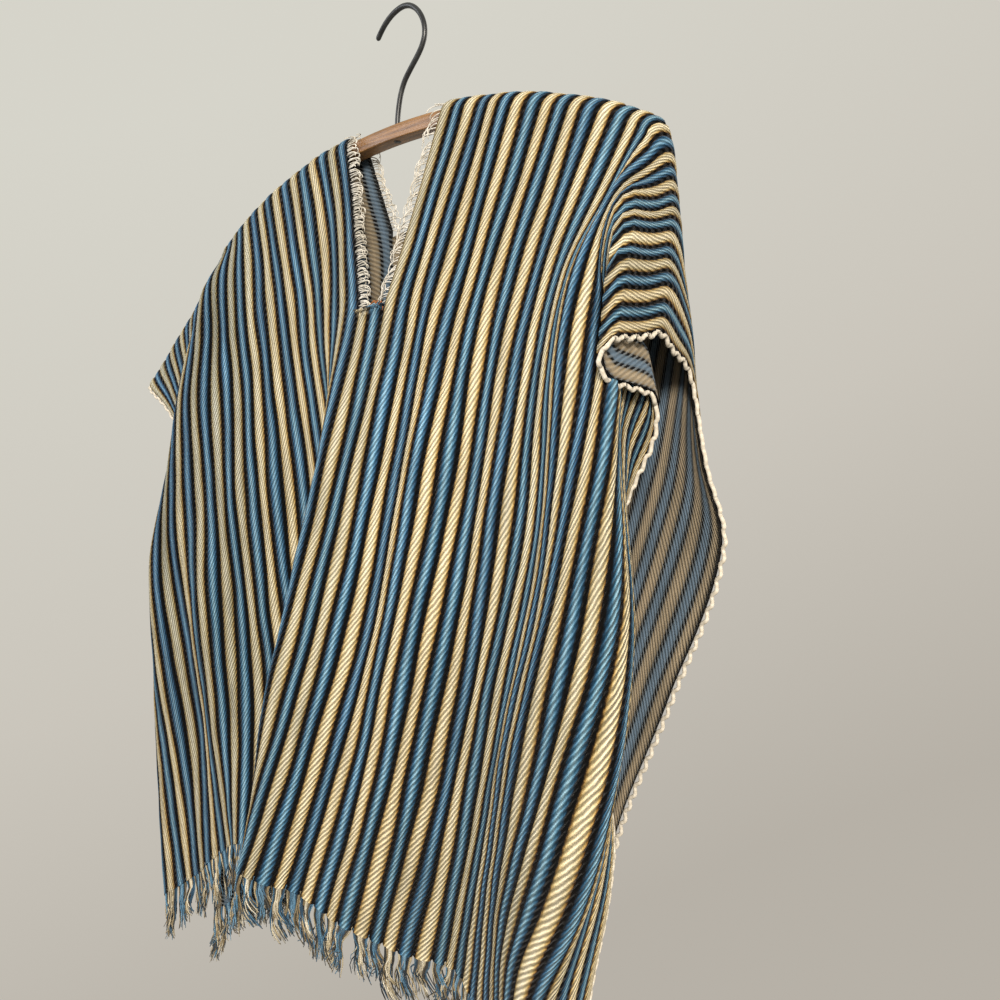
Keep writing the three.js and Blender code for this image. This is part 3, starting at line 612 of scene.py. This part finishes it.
def slit_tuft(name, row, first, count, high):
    """Cut warp ends at the foot of the slit, up to `high` and bent over."""
    paths, radii, uvs = [], [], []
    stations = 9
    s = np.linspace(0, 1, stations)
    for _ in range(count):
        column = int(rng.integers(first, RIGHT))
        root = sheet_points[row, column]
        normal = sheet_normals[row, column]
        rise = unit(root - sheet_points[row - 2, column])
        across = unit(sheet_points[row, RIGHT] - sheet_points[row, LEFT])
        lift = high * rng.uniform(0.5, 1.0)
        over = rng.uniform(1.0, 3.5)
        sway = rng.uniform(-3.0, 3.0)
        depth = rng.uniform(0.6, 3.4)
        path = (root + normal * depth - rise * 2
                + rise * (2 * s + lift * np.sin(s * 2.7))[:, None]
                + normal * (over * s**1.5)[:, None]
                + across * (sway * s + 0.7 * np.sin(s * 7 + sway))[:, None])
        paths.append(path)
        radii.append((0.62 - 0.2 * s) * rng.uniform(0.8, 1.2))
        uvs.append(np.stack([np.full(stations, COLUMNS[column]), s * 0.3 + sway], axis=1))
    return tubes(name, paths, radii, 4, uvs)


# ---- hanger ----
def bar_top(x):
    """The bar's upper edge: nearly level in the neck, then bowed down."""
    out = np.abs(x) - NECK_HALF
    crown = SHOULDER_Z + BAR_CROWN * (1 - (x / NECK_HALF)**2)
    return np.where(out <= 0, crown, SHOULDER_Z - SLOPE * out - BAR_BOW * out * out)


def bar_piece():
    """A bowed bar: round above, flat below, its lower edges just eased."""
    half, low, ease_r = BAR_THICK / 2, -BAR_HIGH, 0.8
    top, round_high = -0.5, 4.6
    section = [(half * math.sin(a), top - round_high * (1 - math.cos(a)))
               for a in np.linspace(-1.57, 1.57, 15)]
    for sign in (1, -1):
        corner = [(sign * (half - ease_r + ease_r * math.cos(a)), low + ease_r - ease_r * math.sin(a))
                  for a in np.linspace(0, 1.57, 4)]
        section += corner if sign > 0 else corner[::-1]
    xs = BAR_HALF * np.sin(np.linspace(-1, 1, 141) * math.pi / 2)
    points = []
    for x in xs:
        tilt = float(bar_top(x + 1) - bar_top(x - 1)) / 2
        size = math.hypot(1, tilt)
        near = max(0.0, 1 - (BAR_HALF - abs(x)) / 4.0)
        end = math.sqrt(max(1 - near**2 * 0.75, 0.0))
        for y, d in section:
            depth = low / 2 + (d - low / 2) * end
            points.append((x - tilt / size * depth, y * end, float(bar_top(x)) + depth / size))
    return new_mesh("hanger_bar_wood", points, loft(len(xs), len(section), turned=True))


HOOK_LINE = [
    (-28, -16), (-24, -11.2), (-19.4, -6.8), (-13.4, -3), (-6.8, -0.7), (0, 0), (7, -1.8),
    (13.6, -6.4), (18.8, -13), (21.9, -20.5), (22.3, -28), (19.8, -34.6), (15.2, -40.6),
    (8.4, -47.6), (2.4, -54.6), (-1.6, -63), (-3.9, -73), (STEM_X, -83), (STEM_X, -94),
]


def hook_piece():
    """The wire hook, its free end rounded."""
    line = np.array(HOOK_LINE, float) + [0, WIRE_R]
    length = run_of(line)
    fine = np.linspace(0, length[-1], 150)
    x, z = through(length, line[:, 0], fine), through(length, line[:, 1], fine)
    path = np.stack([x, np.zeros_like(x), z], axis=1)
    radius = np.full(len(fine), WIRE_R)
    tip = np.minimum(fine / WIRE_R, 1)
    radius = radius * np.sqrt(np.maximum(1 - (1 - tip)**2, 0.12))
    return tubes("hanger_hook_wire", path[None], radius[None], 16)


def stem_end():
    """The wire's end, turned over in a small sunk hole under the bar."""
    sides = 24
    turn = np.linspace(0, 2 * math.pi, sides + 1)[:-1]
    low = float(bar_top(STEM_X)) - BAR_HIGH
    rings = [(2.9, 0.05), (2.75, -0.16), (2.2, -0.16), (1.9, 0.02), (1.2, -0.30), (0.01, -0.38)]
    points = [(STEM_X + r * math.cos(a), r * math.sin(a), low + z) for r, z in rings for a in turn]
    return new_mesh("hook_stem_end", points, loft(len(rings), sides))


# ---- materials ----
def linear(hexcode):
    channels = [int(hexcode[i:i + 2], 16) / 255 for i in (1, 3, 5)]
    return tuple(c / 12.92 if c <= 0.04045 else ((c + 0.055) / 1.055)**2.4 for c in channels) + (1.0,)


def new_material(name):
    material = bpy.data.materials.new(name)
    material.use_nodes = True
    tree = material.node_tree
    tree.nodes.clear()
    return material, tree


def add(tree, kind, links=(), output=0, stops=(), **settings):
    """Adds a node and gives one of its outputs. Settings go on the node, stops
    on its colour ramp, and links holds each socket's value or what feeds it."""
    made = tree.nodes.new("ShaderNode" + kind)
    for key, value in settings.items():
        setattr(made, key, value)
    for key, value in dict(links).items():
        socket = made.inputs[key]
        if isinstance(value, bpy.types.NodeSocket):
            tree.links.new(value, socket)
        else:
            socket.default_value = value
    if stops:
        elements = made.color_ramp.elements
        while len(elements) < len(stops):
            elements.new(0.5)
        for element, (at, colour) in zip(elements, stops):
            element.position = at
            element.color = linear(colour) if isinstance(colour, str) else (colour, colour, colour, 1)
    return made.outputs[output] if made.outputs else None


MIX = {"output": 2, "data_type": "RGBA", "blend_type": "MIX"}
MULTIPLY = {"output": 2, "data_type": "RGBA", "blend_type": "MULTIPLY"}
LIGHTEN = {"output": 2, "data_type": "RGBA", "blend_type": "ADD"}


def darkened(tree, colour, share, fac, stops):
    """The colour, multiplied by the shades that a pattern picks."""
    shades = add(tree, "ValToRGB", {"Fac": fac}, stops=stops)
    return add(tree, "Mix", {0: share, 6: colour, 7: shades}, **MULTIPLY)


def wave(tree, phase):
    """A stripe pattern between 0 and 1."""
    sine = add(tree, "Math", {0: phase}, operation="SINE")
    return add(tree, "Math", {0: sine, 1: 0.5, 2: 0.5}, operation="MULTIPLY_ADD")


def surface(tree, sockets, height, strength, depth):
    """Ends a material: its relief, its surface and its output."""
    bump = add(tree, "Bump", {"Strength": strength, "Distance": depth, "Height": height})
    shader = add(tree, "BsdfPrincipled", {**sockets, "Normal": bump})
    add(tree, "OutputMaterial", {"Surface": shader})


def cloth_coordinates(tree):
    """Pairs across, pairs along, and the two as one vector."""
    uv = add(tree, "UVMap", uv_map="cloth")
    across = add(tree, "SeparateXYZ", {0: uv})
    return across, across.node.outputs["Y"], uv


def yarn_noise(tree, uv, scale, stretch, detail=2.0):
    """Unevenness with `scale` blotches to a pair, drawn out along the yarn."""
    moved = add(tree, "Mapping", {"Vector": uv, "Scale": (scale, scale * stretch, 1)})
    return add(tree, "TexNoise", {"Vector": moved, "Scale": 1.0, "Detail": detail},
               noise_dimensions="2D")


def in_pair(tree, across, ragged, edge):
    """Where in its pair of ribs a point lies, with a hairy edge."""
    centred = add(tree, "Math", {0: ragged, 1: 0.5}, operation="SUBTRACT")
    shifted = add(tree, "Math", {0: centred, 1: edge, 2: across}, operation="MULTIPLY_ADD")
    return add(tree, "Math", {0: shifted}, operation="FRACT")


def slanted(tree, across, along, slope, count, uneven, sway):
    """Slanting lines, `count` to a pair's width, that waver a little."""
    line = add(tree, "Math", {0: across, 1: slope, 2: along}, operation="MULTIPLY_ADD")
    shift = add(tree, "Math", {0: uneven, 1: sway}, operation="MULTIPLY")
    phase = add(tree, "Math", {0: line, 1: count * 2 * math.pi, 2: shift}, operation="MULTIPLY_ADD")
    return wave(tree, phase)


# One pair of ribs across, from the crown of a blue one to the next, in the dyed blue and cream.
# Painted light and shade for the rounding: lighter crowns, darker flanks, black gaps partly dark yarn and
# partly painted shade.
RIB_DYES_AND_PAINTED_SHADE = [
    (0.00, "#92bdd9"), (0.045, "#74a8ca"), (0.085, "#437ba3"), (0.135, "#244f72"), (0.17, "#10263a"),
    (0.19, "#060709"), (0.285, "#060505"), (0.30, "#3c2a14"), (0.325, "#a5874f"), (0.355, "#d2bf8e"),
    (0.42, "#ecdfba"), (0.50, "#faf1d6"), (0.60, "#e6d7ab"), (0.645, "#c6aa6c"), (0.68, "#7d5a2c"),
    (0.70, "#120b07"), (0.80, "#050507"), (0.82, "#0f2032"), (0.86, "#214b6d"), (0.91, "#3e77a0"),
    (0.955, "#78abcc"), (1.00, "#92bdd9"),
]
# Where on a pair the painted highlight falls: on the rib crowns.
CROWN_HIGHLIGHT_MASK = [
    (0.06, 1.0), (0.16, 0.0), (0.33, 0.0), (0.42, 1.0), (0.58, 1.0), (0.67, 0.0), (0.84, 0.0), (0.94, 1.0),
]
# The same pair on the reverse: flat slate and tan bands.
REVERSE_COLOURS = [
    (0.00, "#6b7e90"), (0.13, "#5d7080"), (0.155, "#2c353d"), (0.175, "#060708"), (0.27, "#080706"),
    (0.295, "#6c5f49"), (0.35, "#96876e"), (0.50, "#a1927a"), (0.65, "#93846b"), (0.70, "#6c5f49"),
    (0.725, "#080706"), (0.82, "#060708"), (0.84, "#37424c"), (0.87, "#5d7080"), (1.00, "#6b7e90"),
]
REVERSE_BANDS = [(0.0, "#66798a"), (0.25, "#75797a"), (0.5, "#a1927a"), (0.75, "#75797a"), (1.0, "#66798a")]
THREAD_COLOURS = [
    (0.00, "#7fa0b8"), (0.10, "#54809f"), (0.17, "#2f4a63"), (0.22, "#1d2124"), (0.29, "#4d4c47"),
    (0.34, "#978461"), (0.40, "#c4baa0"), (0.50, "#dcd7c8"), (0.60, "#c1b9a3"), (0.67, "#9a8a68"),
    (0.72, "#4c463e"), (0.78, "#1f2428"), (0.83, "#304e69"), (0.90, "#5b86a5"), (1.00, "#7fa0b8"),
]
PLIES = 4.2           # to a pair's 23.5 mm, so 5.6 mm apart along a rib
PICKS = 6.2           # to a pair's 23.5 mm, so 3.8 mm apart along the reverse


def rib_cloth():
    """Thick warp-faced wool and cotton: plied yarn in raised ribs. The eye gets
    slanting plies on each rib, dark gaps, and a dull nap that softens edges."""
    material, tree = new_material("ribbed_wool_face")
    across, along, uv = cloth_coordinates(tree)
    ragged = yarn_noise(tree, uv, 26, 0.35)  # fibres, 0.9 mm
    part = in_pair(tree, across, ragged, 0.045)
    colour = add(tree, "ValToRGB", {"Fac": part}, stops=RIB_DYES_AND_PAINTED_SHADE)
    # the plies slant up to the right, with painted shade between them and a painted highlight on the crowns
    ply = slanted(tree, across, along, 2.1, PLIES, yarn_noise(tree, uv, 4, 0.6), 3.0)
    # painted shade: the grooves between the plies are darkened
    colour = darkened(tree, colour, 0.85, ply, [(0.0, 0.24), (0.25, 0.5), (0.5, 0.9), (0.75, 1.0)])
    # painted highlight: the lighter plies on the crowns are brightened towards grey-blue
    crown = add(tree, "ValToRGB", {"Fac": part}, stops=CROWN_HIGHLIGHT_MASK)
    painted_ply_highlight = add(tree, "ValToRGB", {"Fac": ply}, stops=[(0.6, 0.0), (1.0, 0.34)])
    painted_glint = add(tree, "Math", {0: crown, 1: painted_ply_highlight}, operation="MULTIPLY")
    painted_highlight_colour = add(tree, "Mix", {0: 1.0, 6: colour, 7: linear("#74828c")}, **LIGHTEN)
    colour = add(tree, "Mix", {0: painted_glint, 6: colour, 7: painted_highlight_colour}, **MIX)
    # each rib was dyed and spun a little differently
    halves = add(tree, "Math", {0: across, 1: 2.0, 2: 0.5}, operation="MULTIPLY_ADD")
    rib_number = add(tree, "Math", {0: halves}, operation="FLOOR")
    own = add(tree, "TexWhiteNoise", {"W": rib_number}, "Value", noise_dimensions="1D")
    colour = darkened(tree, colour, 1.0, own, [(0.0, "#dfe3e8"), (0.5, "#fbf6ee"), (1.0, "#ffffff")])
    slow = yarn_noise(tree, uv, 2.2, 0.16, 3.0)  # wear, 11 mm across and 67 mm along
    colour = darkened(tree, colour, 0.85, slow, [(0.25, "#cfd0d0"), (0.5, "#f4f1ea"), (0.75, "#ffffff")])
    # painted shade: the cloth is darker and less gold towards the left shoulder and over the back, away from
    # the window
    sideways = add(tree, "Math", {0: across, 1: 0.07, 2: 0.42}, operation="MULTIPLY_ADD")
    side = add(tree, "Math", {0: along, 1: 0.05, 2: sideways}, operation="MULTIPLY_ADD")
    colour = darkened(tree, colour, 1.0, side, [(0.0, "#dbe3ee"), (0.5, "#eff0f1"), (1.0, "#ffffff")])
    fuzz = yarn_noise(tree, uv, 55, 0.45, 3.0)  # nap, 0.4 mm
    colour = darkened(tree, colour, 0.7, fuzz, [(0.25, 0.62), (0.55, 1.0), (1.0, 1.0)])
    height = add(tree, "Math", {0: fuzz, 1: 0.45, 2: ply}, operation="MULTIPLY_ADD")
    surface(tree, {"Base Color": colour, "Roughness": 0.9, "Sheen Weight": 0.04, "Sheen Roughness": 0.4,
                   "Specular IOR Level": 0.12}, height, 1.0, 0.0013)
    return material


def reverse_cloth():
    """The reverse of the same cloth: the ribs lie flat, and the dark binding
    warps show as rows of short dashes between slate and tan bands."""
    material, tree = new_material("ribbed_wool_reverse")
    across, along, uv = cloth_coordinates(tree)
    ragged = yarn_noise(tree, uv, 26, 0.5)
    part = in_pair(tree, across, ragged, 0.03)
    colour = add(tree, "ValToRGB", {"Fac": part}, stops=REVERSE_COLOURS)
    pick = slanted(tree, across, along, 0.8, PICKS, ragged, 2.0)
    plain = add(tree, "ValToRGB", {"Fac": part}, stops=REVERSE_BANDS)
    bound = add(tree, "Mix", {0: 0.8, 6: colour, 7: plain}, **MIX)
    dashes = add(tree, "ValToRGB", {"Fac": pick}, stops=[(0.5, 0.0), (0.7, 1.0)])
    colour = add(tree, "Mix", {0: dashes, 6: colour, 7: bound}, **MIX)
    colour = darkened(tree, colour, 0.7, pick, [(0.0, 0.6), (0.5, 0.95), (1.0, 1.0)])
    slow = yarn_noise(tree, uv, 2.0, 0.2, 3.0)
    colour = darkened(tree, colour, 0.9, slow, [(0.25, "#cfd0d0"), (0.75, "#ffffff")])
    fuzz = yarn_noise(tree, uv, 55, 0.6, 3.0)
    colour = darkened(tree, colour, 0.6, fuzz, [(0.25, 0.66), (0.6, 1.0)])
    height = add(tree, "Math", {0: fuzz, 1: 0.4, 2: pick}, operation="MULTIPLY_ADD")
    surface(tree, {"Base Color": colour, "Roughness": 0.92, "Sheen Weight": 0.04, "Sheen Roughness": 0.4,
                   "Specular IOR Level": 0.1}, height, 0.7, 0.0006)
    return material


def thread_yarn():
    """Loose warp ends in the colours of the ribs they leave, dull and hairy."""
    material, tree = new_material("loose_warp_yarn")
    across, along, _ = cloth_coordinates(tree)
    part = add(tree, "Math", {0: across}, operation="FRACT")
    colour = add(tree, "ValToRGB", {"Fac": part}, stops=THREAD_COLOURS)
    single = add(tree, "TexWhiteNoise", {"W": add(tree, "Math", {0: across, 1: 91.7}, operation="MULTIPLY")},
                 "Value", noise_dimensions="1D")
    colour = darkened(tree, colour, 0.9, single, [(0.0, "#a9a9a6"), (0.5, "#f1efe9"), (1.0, "#ffffff")])
    twist = wave(tree, add(tree, "Math", {0: along, 1: 75.0}, operation="MULTIPLY"))
    colour = darkened(tree, colour, 0.5, twist, [(0.0, 0.6), (0.6, 1.0)])
    surface(tree, {"Base Color": colour, "Roughness": 0.9, "Sheen Weight": 0.08,
                   "Specular IOR Level": 0.15}, twist, 0.5, 0.0003)
    return material


def plain_yarn(name, light, dark, roughness):
    """Cut cotton yarn of one colour: matt, a little blotchy and worn."""
    material, tree = new_material(name)
    place = add(tree, "TexCoord", output="Object")
    # blotches of 4 mm and wear of 36 mm
    blotch = add(tree, "TexNoise", {"Vector": place, "Scale": 260.0, "Detail": 3.0})
    slow = add(tree, "TexNoise", {"Vector": place, "Scale": 28.0, "Detail": 2.0})
    colour = add(tree, "ValToRGB", {"Fac": blotch}, stops=[(0.3, dark), (0.62, light)])
    colour = darkened(tree, colour, 0.8, slow, [(0.3, "#d7d0c2"), (0.65, "#ffffff")])
    surface(tree, {"Base Color": colour, "Roughness": roughness, "Sheen Weight": 0.05,
                   "Specular IOR Level": 0.08}, blotch, 0.7, 0.0005)
    return material


def braid_yarn():
    """The selvedge: cream cotton wefts laid side by side 3.1 mm apart, matt
    and slightly soiled."""
    material, tree = new_material("selvedge_cotton_braid")
    _, along, _ = cloth_coordinates(tree)
    place = add(tree, "TexCoord", output="Object")
    blotch = add(tree, "TexNoise", {"Vector": place, "Scale": 800.0, "Detail": 2.0})
    shift = add(tree, "Math", {0: blotch, 1: 3.0}, operation="MULTIPLY")
    phase = add(tree, "Math", {0: along, 1: 2 * math.pi * PAIR / 3.1, 2: shift}, operation="MULTIPLY_ADD")
    colour = add(tree, "ValToRGB", {"Fac": wave(tree, phase)}, stops=[(0.0, "#bdb5a5"), (1.0, "#cfc8ba")])
    colour = darkened(tree, colour, 0.5, blotch, [(0.3, 0.6), (0.6, 1.0)])
    surface(tree, {"Base Color": colour, "Roughness": 0.95, "Sheen Weight": 0.03,
                   "Specular IOR Level": 0.05}, blotch, 0.3, 0.0002)
    return material


def stained_beech():
    """Beech under a brown stain and thin satin varnish: long fine grain along
    the bar, darker pores, a soft shine."""
    material, tree = new_material("stained_beech")
    place = add(tree, "TexCoord", output="Object")
    # grain runs along the bar, about 2 mm wide, and the pores 0.4 mm
    along_bar = add(tree, "Mapping", {"Vector": place, "Scale": (14, 520, 620)})
    grain = add(tree, "TexNoise", {"Vector": along_bar, "Scale": 1.0, "Detail": 5.0, "Distortion": 0.6})
    fine = add(tree, "Mapping", {"Vector": place, "Scale": (90, 2600, 2600)})
    pores = add(tree, "TexNoise", {"Vector": fine, "Scale": 1.0, "Detail": 2.0})
    browns = [(0.28, "#54381a"), (0.45, "#704e28"), (0.6, "#825d33"), (0.78, "#956e3e")]
    colour = add(tree, "ValToRGB", {"Fac": grain}, stops=browns)
    colour = darkened(tree, colour, 0.8, pores, [(0.30, 0.45), (0.42, 1.0)])
    worn = add(tree, "TexNoise", {"Vector": place, "Scale": 45.0, "Detail": 2.0})
    rough = add(tree, "MapRange", {0: worn, 3: 0.38, 4: 0.58})
    height = add(tree, "Math", {0: grain, 1: pores}, operation="ADD")
    surface(tree, {"Base Color": colour, "Roughness": rough, "IOR": 1.5, "Coat Weight": 0.15,
                   "Coat Roughness": 0.3}, height, 0.35, 0.0003)
    return material


def lacquered_wire():
    """Steel wire under thin black lacquer, rubbed a little grey on the crown."""
    material, tree = new_material("black_lacquered_steel")
    place = add(tree, "TexCoord", output="Object")
    # specks of 2.4 mm and rubbed patches of 14 mm
    specks = add(tree, "TexNoise", {"Vector": place, "Scale": 420.0, "Detail": 3.0})
    patches = add(tree, "TexNoise", {"Vector": place, "Scale": 70.0, "Detail": 2.0})
    colour = add(tree, "ValToRGB", {"Fac": patches},
                 stops=[(0.35, "#1b1c1d"), (0.6, "#2b2d2e"), (0.8, "#4a4b49")])
    rough = add(tree, "MapRange", {0: specks, 3: 0.28, 4: 0.5})
    surface(tree, {"Base Color": colour, "Roughness": rough, "Metallic": 0.35}, specks, 0.25, 0.0002)
    return material


def matte_floor():
    """Pale matt plaster with faint mottling."""
    material, tree = new_material("pale_floor")
    place = add(tree, "TexCoord", output="Object")
    mottle = add(tree, "TexNoise", {"Vector": place, "Scale": 3.0, "Detail": 3.0})
    colour = add(tree, "ValToRGB", {"Fac": mottle}, stops=[(0.3, "#b9b5ad"), (0.7, "#c1bdb5")])
    shader = add(tree, "BsdfPrincipled", {"Base Color": colour, "Roughness": 0.9})
    add(tree, "OutputMaterial", {"Surface": shader})
    return material


# ---- the pieces ----
def finish_piece(piece, materials, slot_name, *nodes):
    """Gives a piece its materials and the nodes that it stands for. Its slot name is not used."""
    for material in materials:
        piece.data.materials.append(material)
    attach(piece, "root")
    if nodes:
        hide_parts(*nodes)
    return piece


weft_white = plain_yarn("bleached_cotton_weft", "#dbd8d0", "#a8a499", 0.95)
warp_loose = thread_yarn()
braid = braid_yarn()

cloth = finish_piece(woven_length(), [rib_cloth(), reverse_cloth()], "woven_cloth",
                     "cloth_front", "cloth_back")
cords = [
    finish_piece(edge_cord("selvedge_left", 0, -1), [braid], "weft_fray"),
    finish_piece(edge_cord("selvedge_right", len(COLUMNS) - 1, 1), [braid], "weft_fray"),
]
fringes = [
    finish_piece(hem_threads("fringe_front", 0, 2, 34), [warp_loose], "fringe_yarn", "hem_fringe_front"),
    finish_piece(hem_threads("fringe_back", len(sheet_along) - 1, len(sheet_along) - 3, 34),
                 [warp_loose], "fringe_yarn", "hem_fringe_back"),
]
on_front = slit_rows & (sheet_along > 6)
on_back = slit_rows & (sheet_along < 4)
# At the front's left the cut wefts stand close; the other three edges are looser.
EDGES = [
    ("front_left", LEFT, 1, on_front, dict(step=1.1, long=16.0, droop=0.32, curl=1.1, loose=0.16)),
    ("front_right", RIGHT, -1, on_front, dict(step=2.1, long=15.0, droop=0.9, curl=0.8, loose=0.5)),
    ("back_left", LEFT, 1, on_back, dict(step=1.9, long=14.0, droop=0.9, curl=1.2, loose=0.5)),
    ("back_right", RIGHT, -1, on_back, dict(step=1.9, long=14.0, droop=0.9, curl=1.2, loose=0.5)),
]
frays = [
    finish_piece(slit_yarns("fray_" + edge, column, inward, rows, **yarns),
                 [weft_white], "weft_fray", "slit_fray_" + edge)
    for edge, column, inward, rows, yarns in EDGES
]
front_foot = int(np.where(slit_rows)[0][0]) - 1
rust = plain_yarn("rust_brown_end", "#a8683a", "#7a4422", 0.95)
frays += [
    finish_piece(slit_tuft("slit_foot_tuft", front_foot, LEFT + 1, 170, 5.0), [warp_loose], "fringe_yarn"),
    finish_piece(slit_tuft("slit_foot_rust_ends", front_foot, RIGHT - 3, 7, 7.5), [rust], "fringe_yarn"),
]
wire = lacquered_wire()
finish_piece(bar_piece(), [stained_beech()], "stained_wood", "hanger_bar")
finish_piece(hook_piece(), [wire], "dark_wire", "hanger_hook")
finish_piece(stem_end(), [wire], "dark_wire")

# ---- camera, light and floor ----
VIEW_FROM = Vector((0.433, -0.418, -0.335))
YAW, PITCH, ROLL = (math.radians(a) for a in (38.6, -2.8, 0.9))
SENSOR = 36.0
FOCAL = 0.780         # the lens, in sensor widths
ahead = Vector((-math.sin(YAW) * math.cos(PITCH), math.cos(YAW) * math.cos(PITCH), math.sin(PITCH)))
level = Vector((math.cos(YAW), math.sin(YAW), 0))
upright = level.cross(ahead)
right = level * math.cos(ROLL) + upright * math.sin(ROLL)
up = upright * math.cos(ROLL) - level * math.sin(ROLL)

camera = bpy.data.objects.new("camera", bpy.data.cameras.new("camera"))
camera.data.sensor_width = SENSOR
camera.data.lens = SENSOR * FOCAL
turn = Matrix((right, up, -ahead)).transposed()
camera.matrix_world = Matrix.Translation(VIEW_FROM) @ turn.to_4x4()
bpy.context.scene.collection.objects.link(camera)
bpy.context.scene.camera = camera

MIDDLE = Vector((-0.04, -0.03, -0.42))


def soft_light(name, place, size, watts, colour):
    """A round lamp that faces the cloth's middle."""
    lamp = bpy.data.lights.new(name, "AREA")
    lamp.shape = "DISK"
    lamp.size = size
    lamp.energy = watts
    lamp.color = linear(colour)[:3]
    made = bpy.data.objects.new(name, lamp)
    made.location = place
    made.rotation_euler = (MIDDLE - Vector(place)).to_track_quat("-Z", "Y").to_euler()
    bpy.context.scene.collection.objects.link(made)


soft_light("window", (1.7, -1.9, 0.75), 0.8, 120, "#fff6ea")
soft_light("left fill", (-1.9, -1.8, 0.5), 1.6, 34, "#f2f5ff")
soft_light("behind", (0.6, 2.3, 0.7), 1.6, 22, "#fff8f0")

world = bpy.data.worlds.new("pale_room")
bpy.context.scene.world = world
world.use_nodes = True
room = world.node_tree
room.nodes.clear()
# painted shade on the wall: paler upwards and to the left, darker towards the lower right
sideways = add(room, "SeparateXYZ", {0: add(room, "TexCoord", output="Generated")})
lean = add(room, "Math", {0: sideways, 1: -0.55, 2: 0.22}, operation="MULTIPLY_ADD")
upwards = sideways.node.outputs["Z"]
slope = add(room, "Math", {0: upwards, 1: 0.9, 2: lean}, operation="MULTIPLY_ADD")
wall_with_painted_shade = add(room, "ValToRGB", {"Fac": slope}, stops=[(0.0, "#bbb5ab"), (0.45, "#cfcac0"), (1.0, "#dbd9cf")])
sky = add(room, "Background", {"Color": wall_with_painted_shade, "Strength": 0.95})
add(room, "OutputWorld", {"Surface": sky})

FLOOR_R, FLOOR_Z, FLOOR_SIDES = 1900.0, -2250.0, 64
round_floor = np.linspace(0, 2 * math.pi, FLOOR_SIDES + 1)[:-1]
floor_ring = [(FLOOR_R * math.cos(a), FLOOR_R * math.sin(a), FLOOR_Z) for a in round_floor]
floor = new_mesh("floor", floor_ring, [tuple(range(FLOOR_SIDES))])
floor.data.materials.append(matte_floor())

bpy.context.scene.view_settings.view_transform = "Standard"
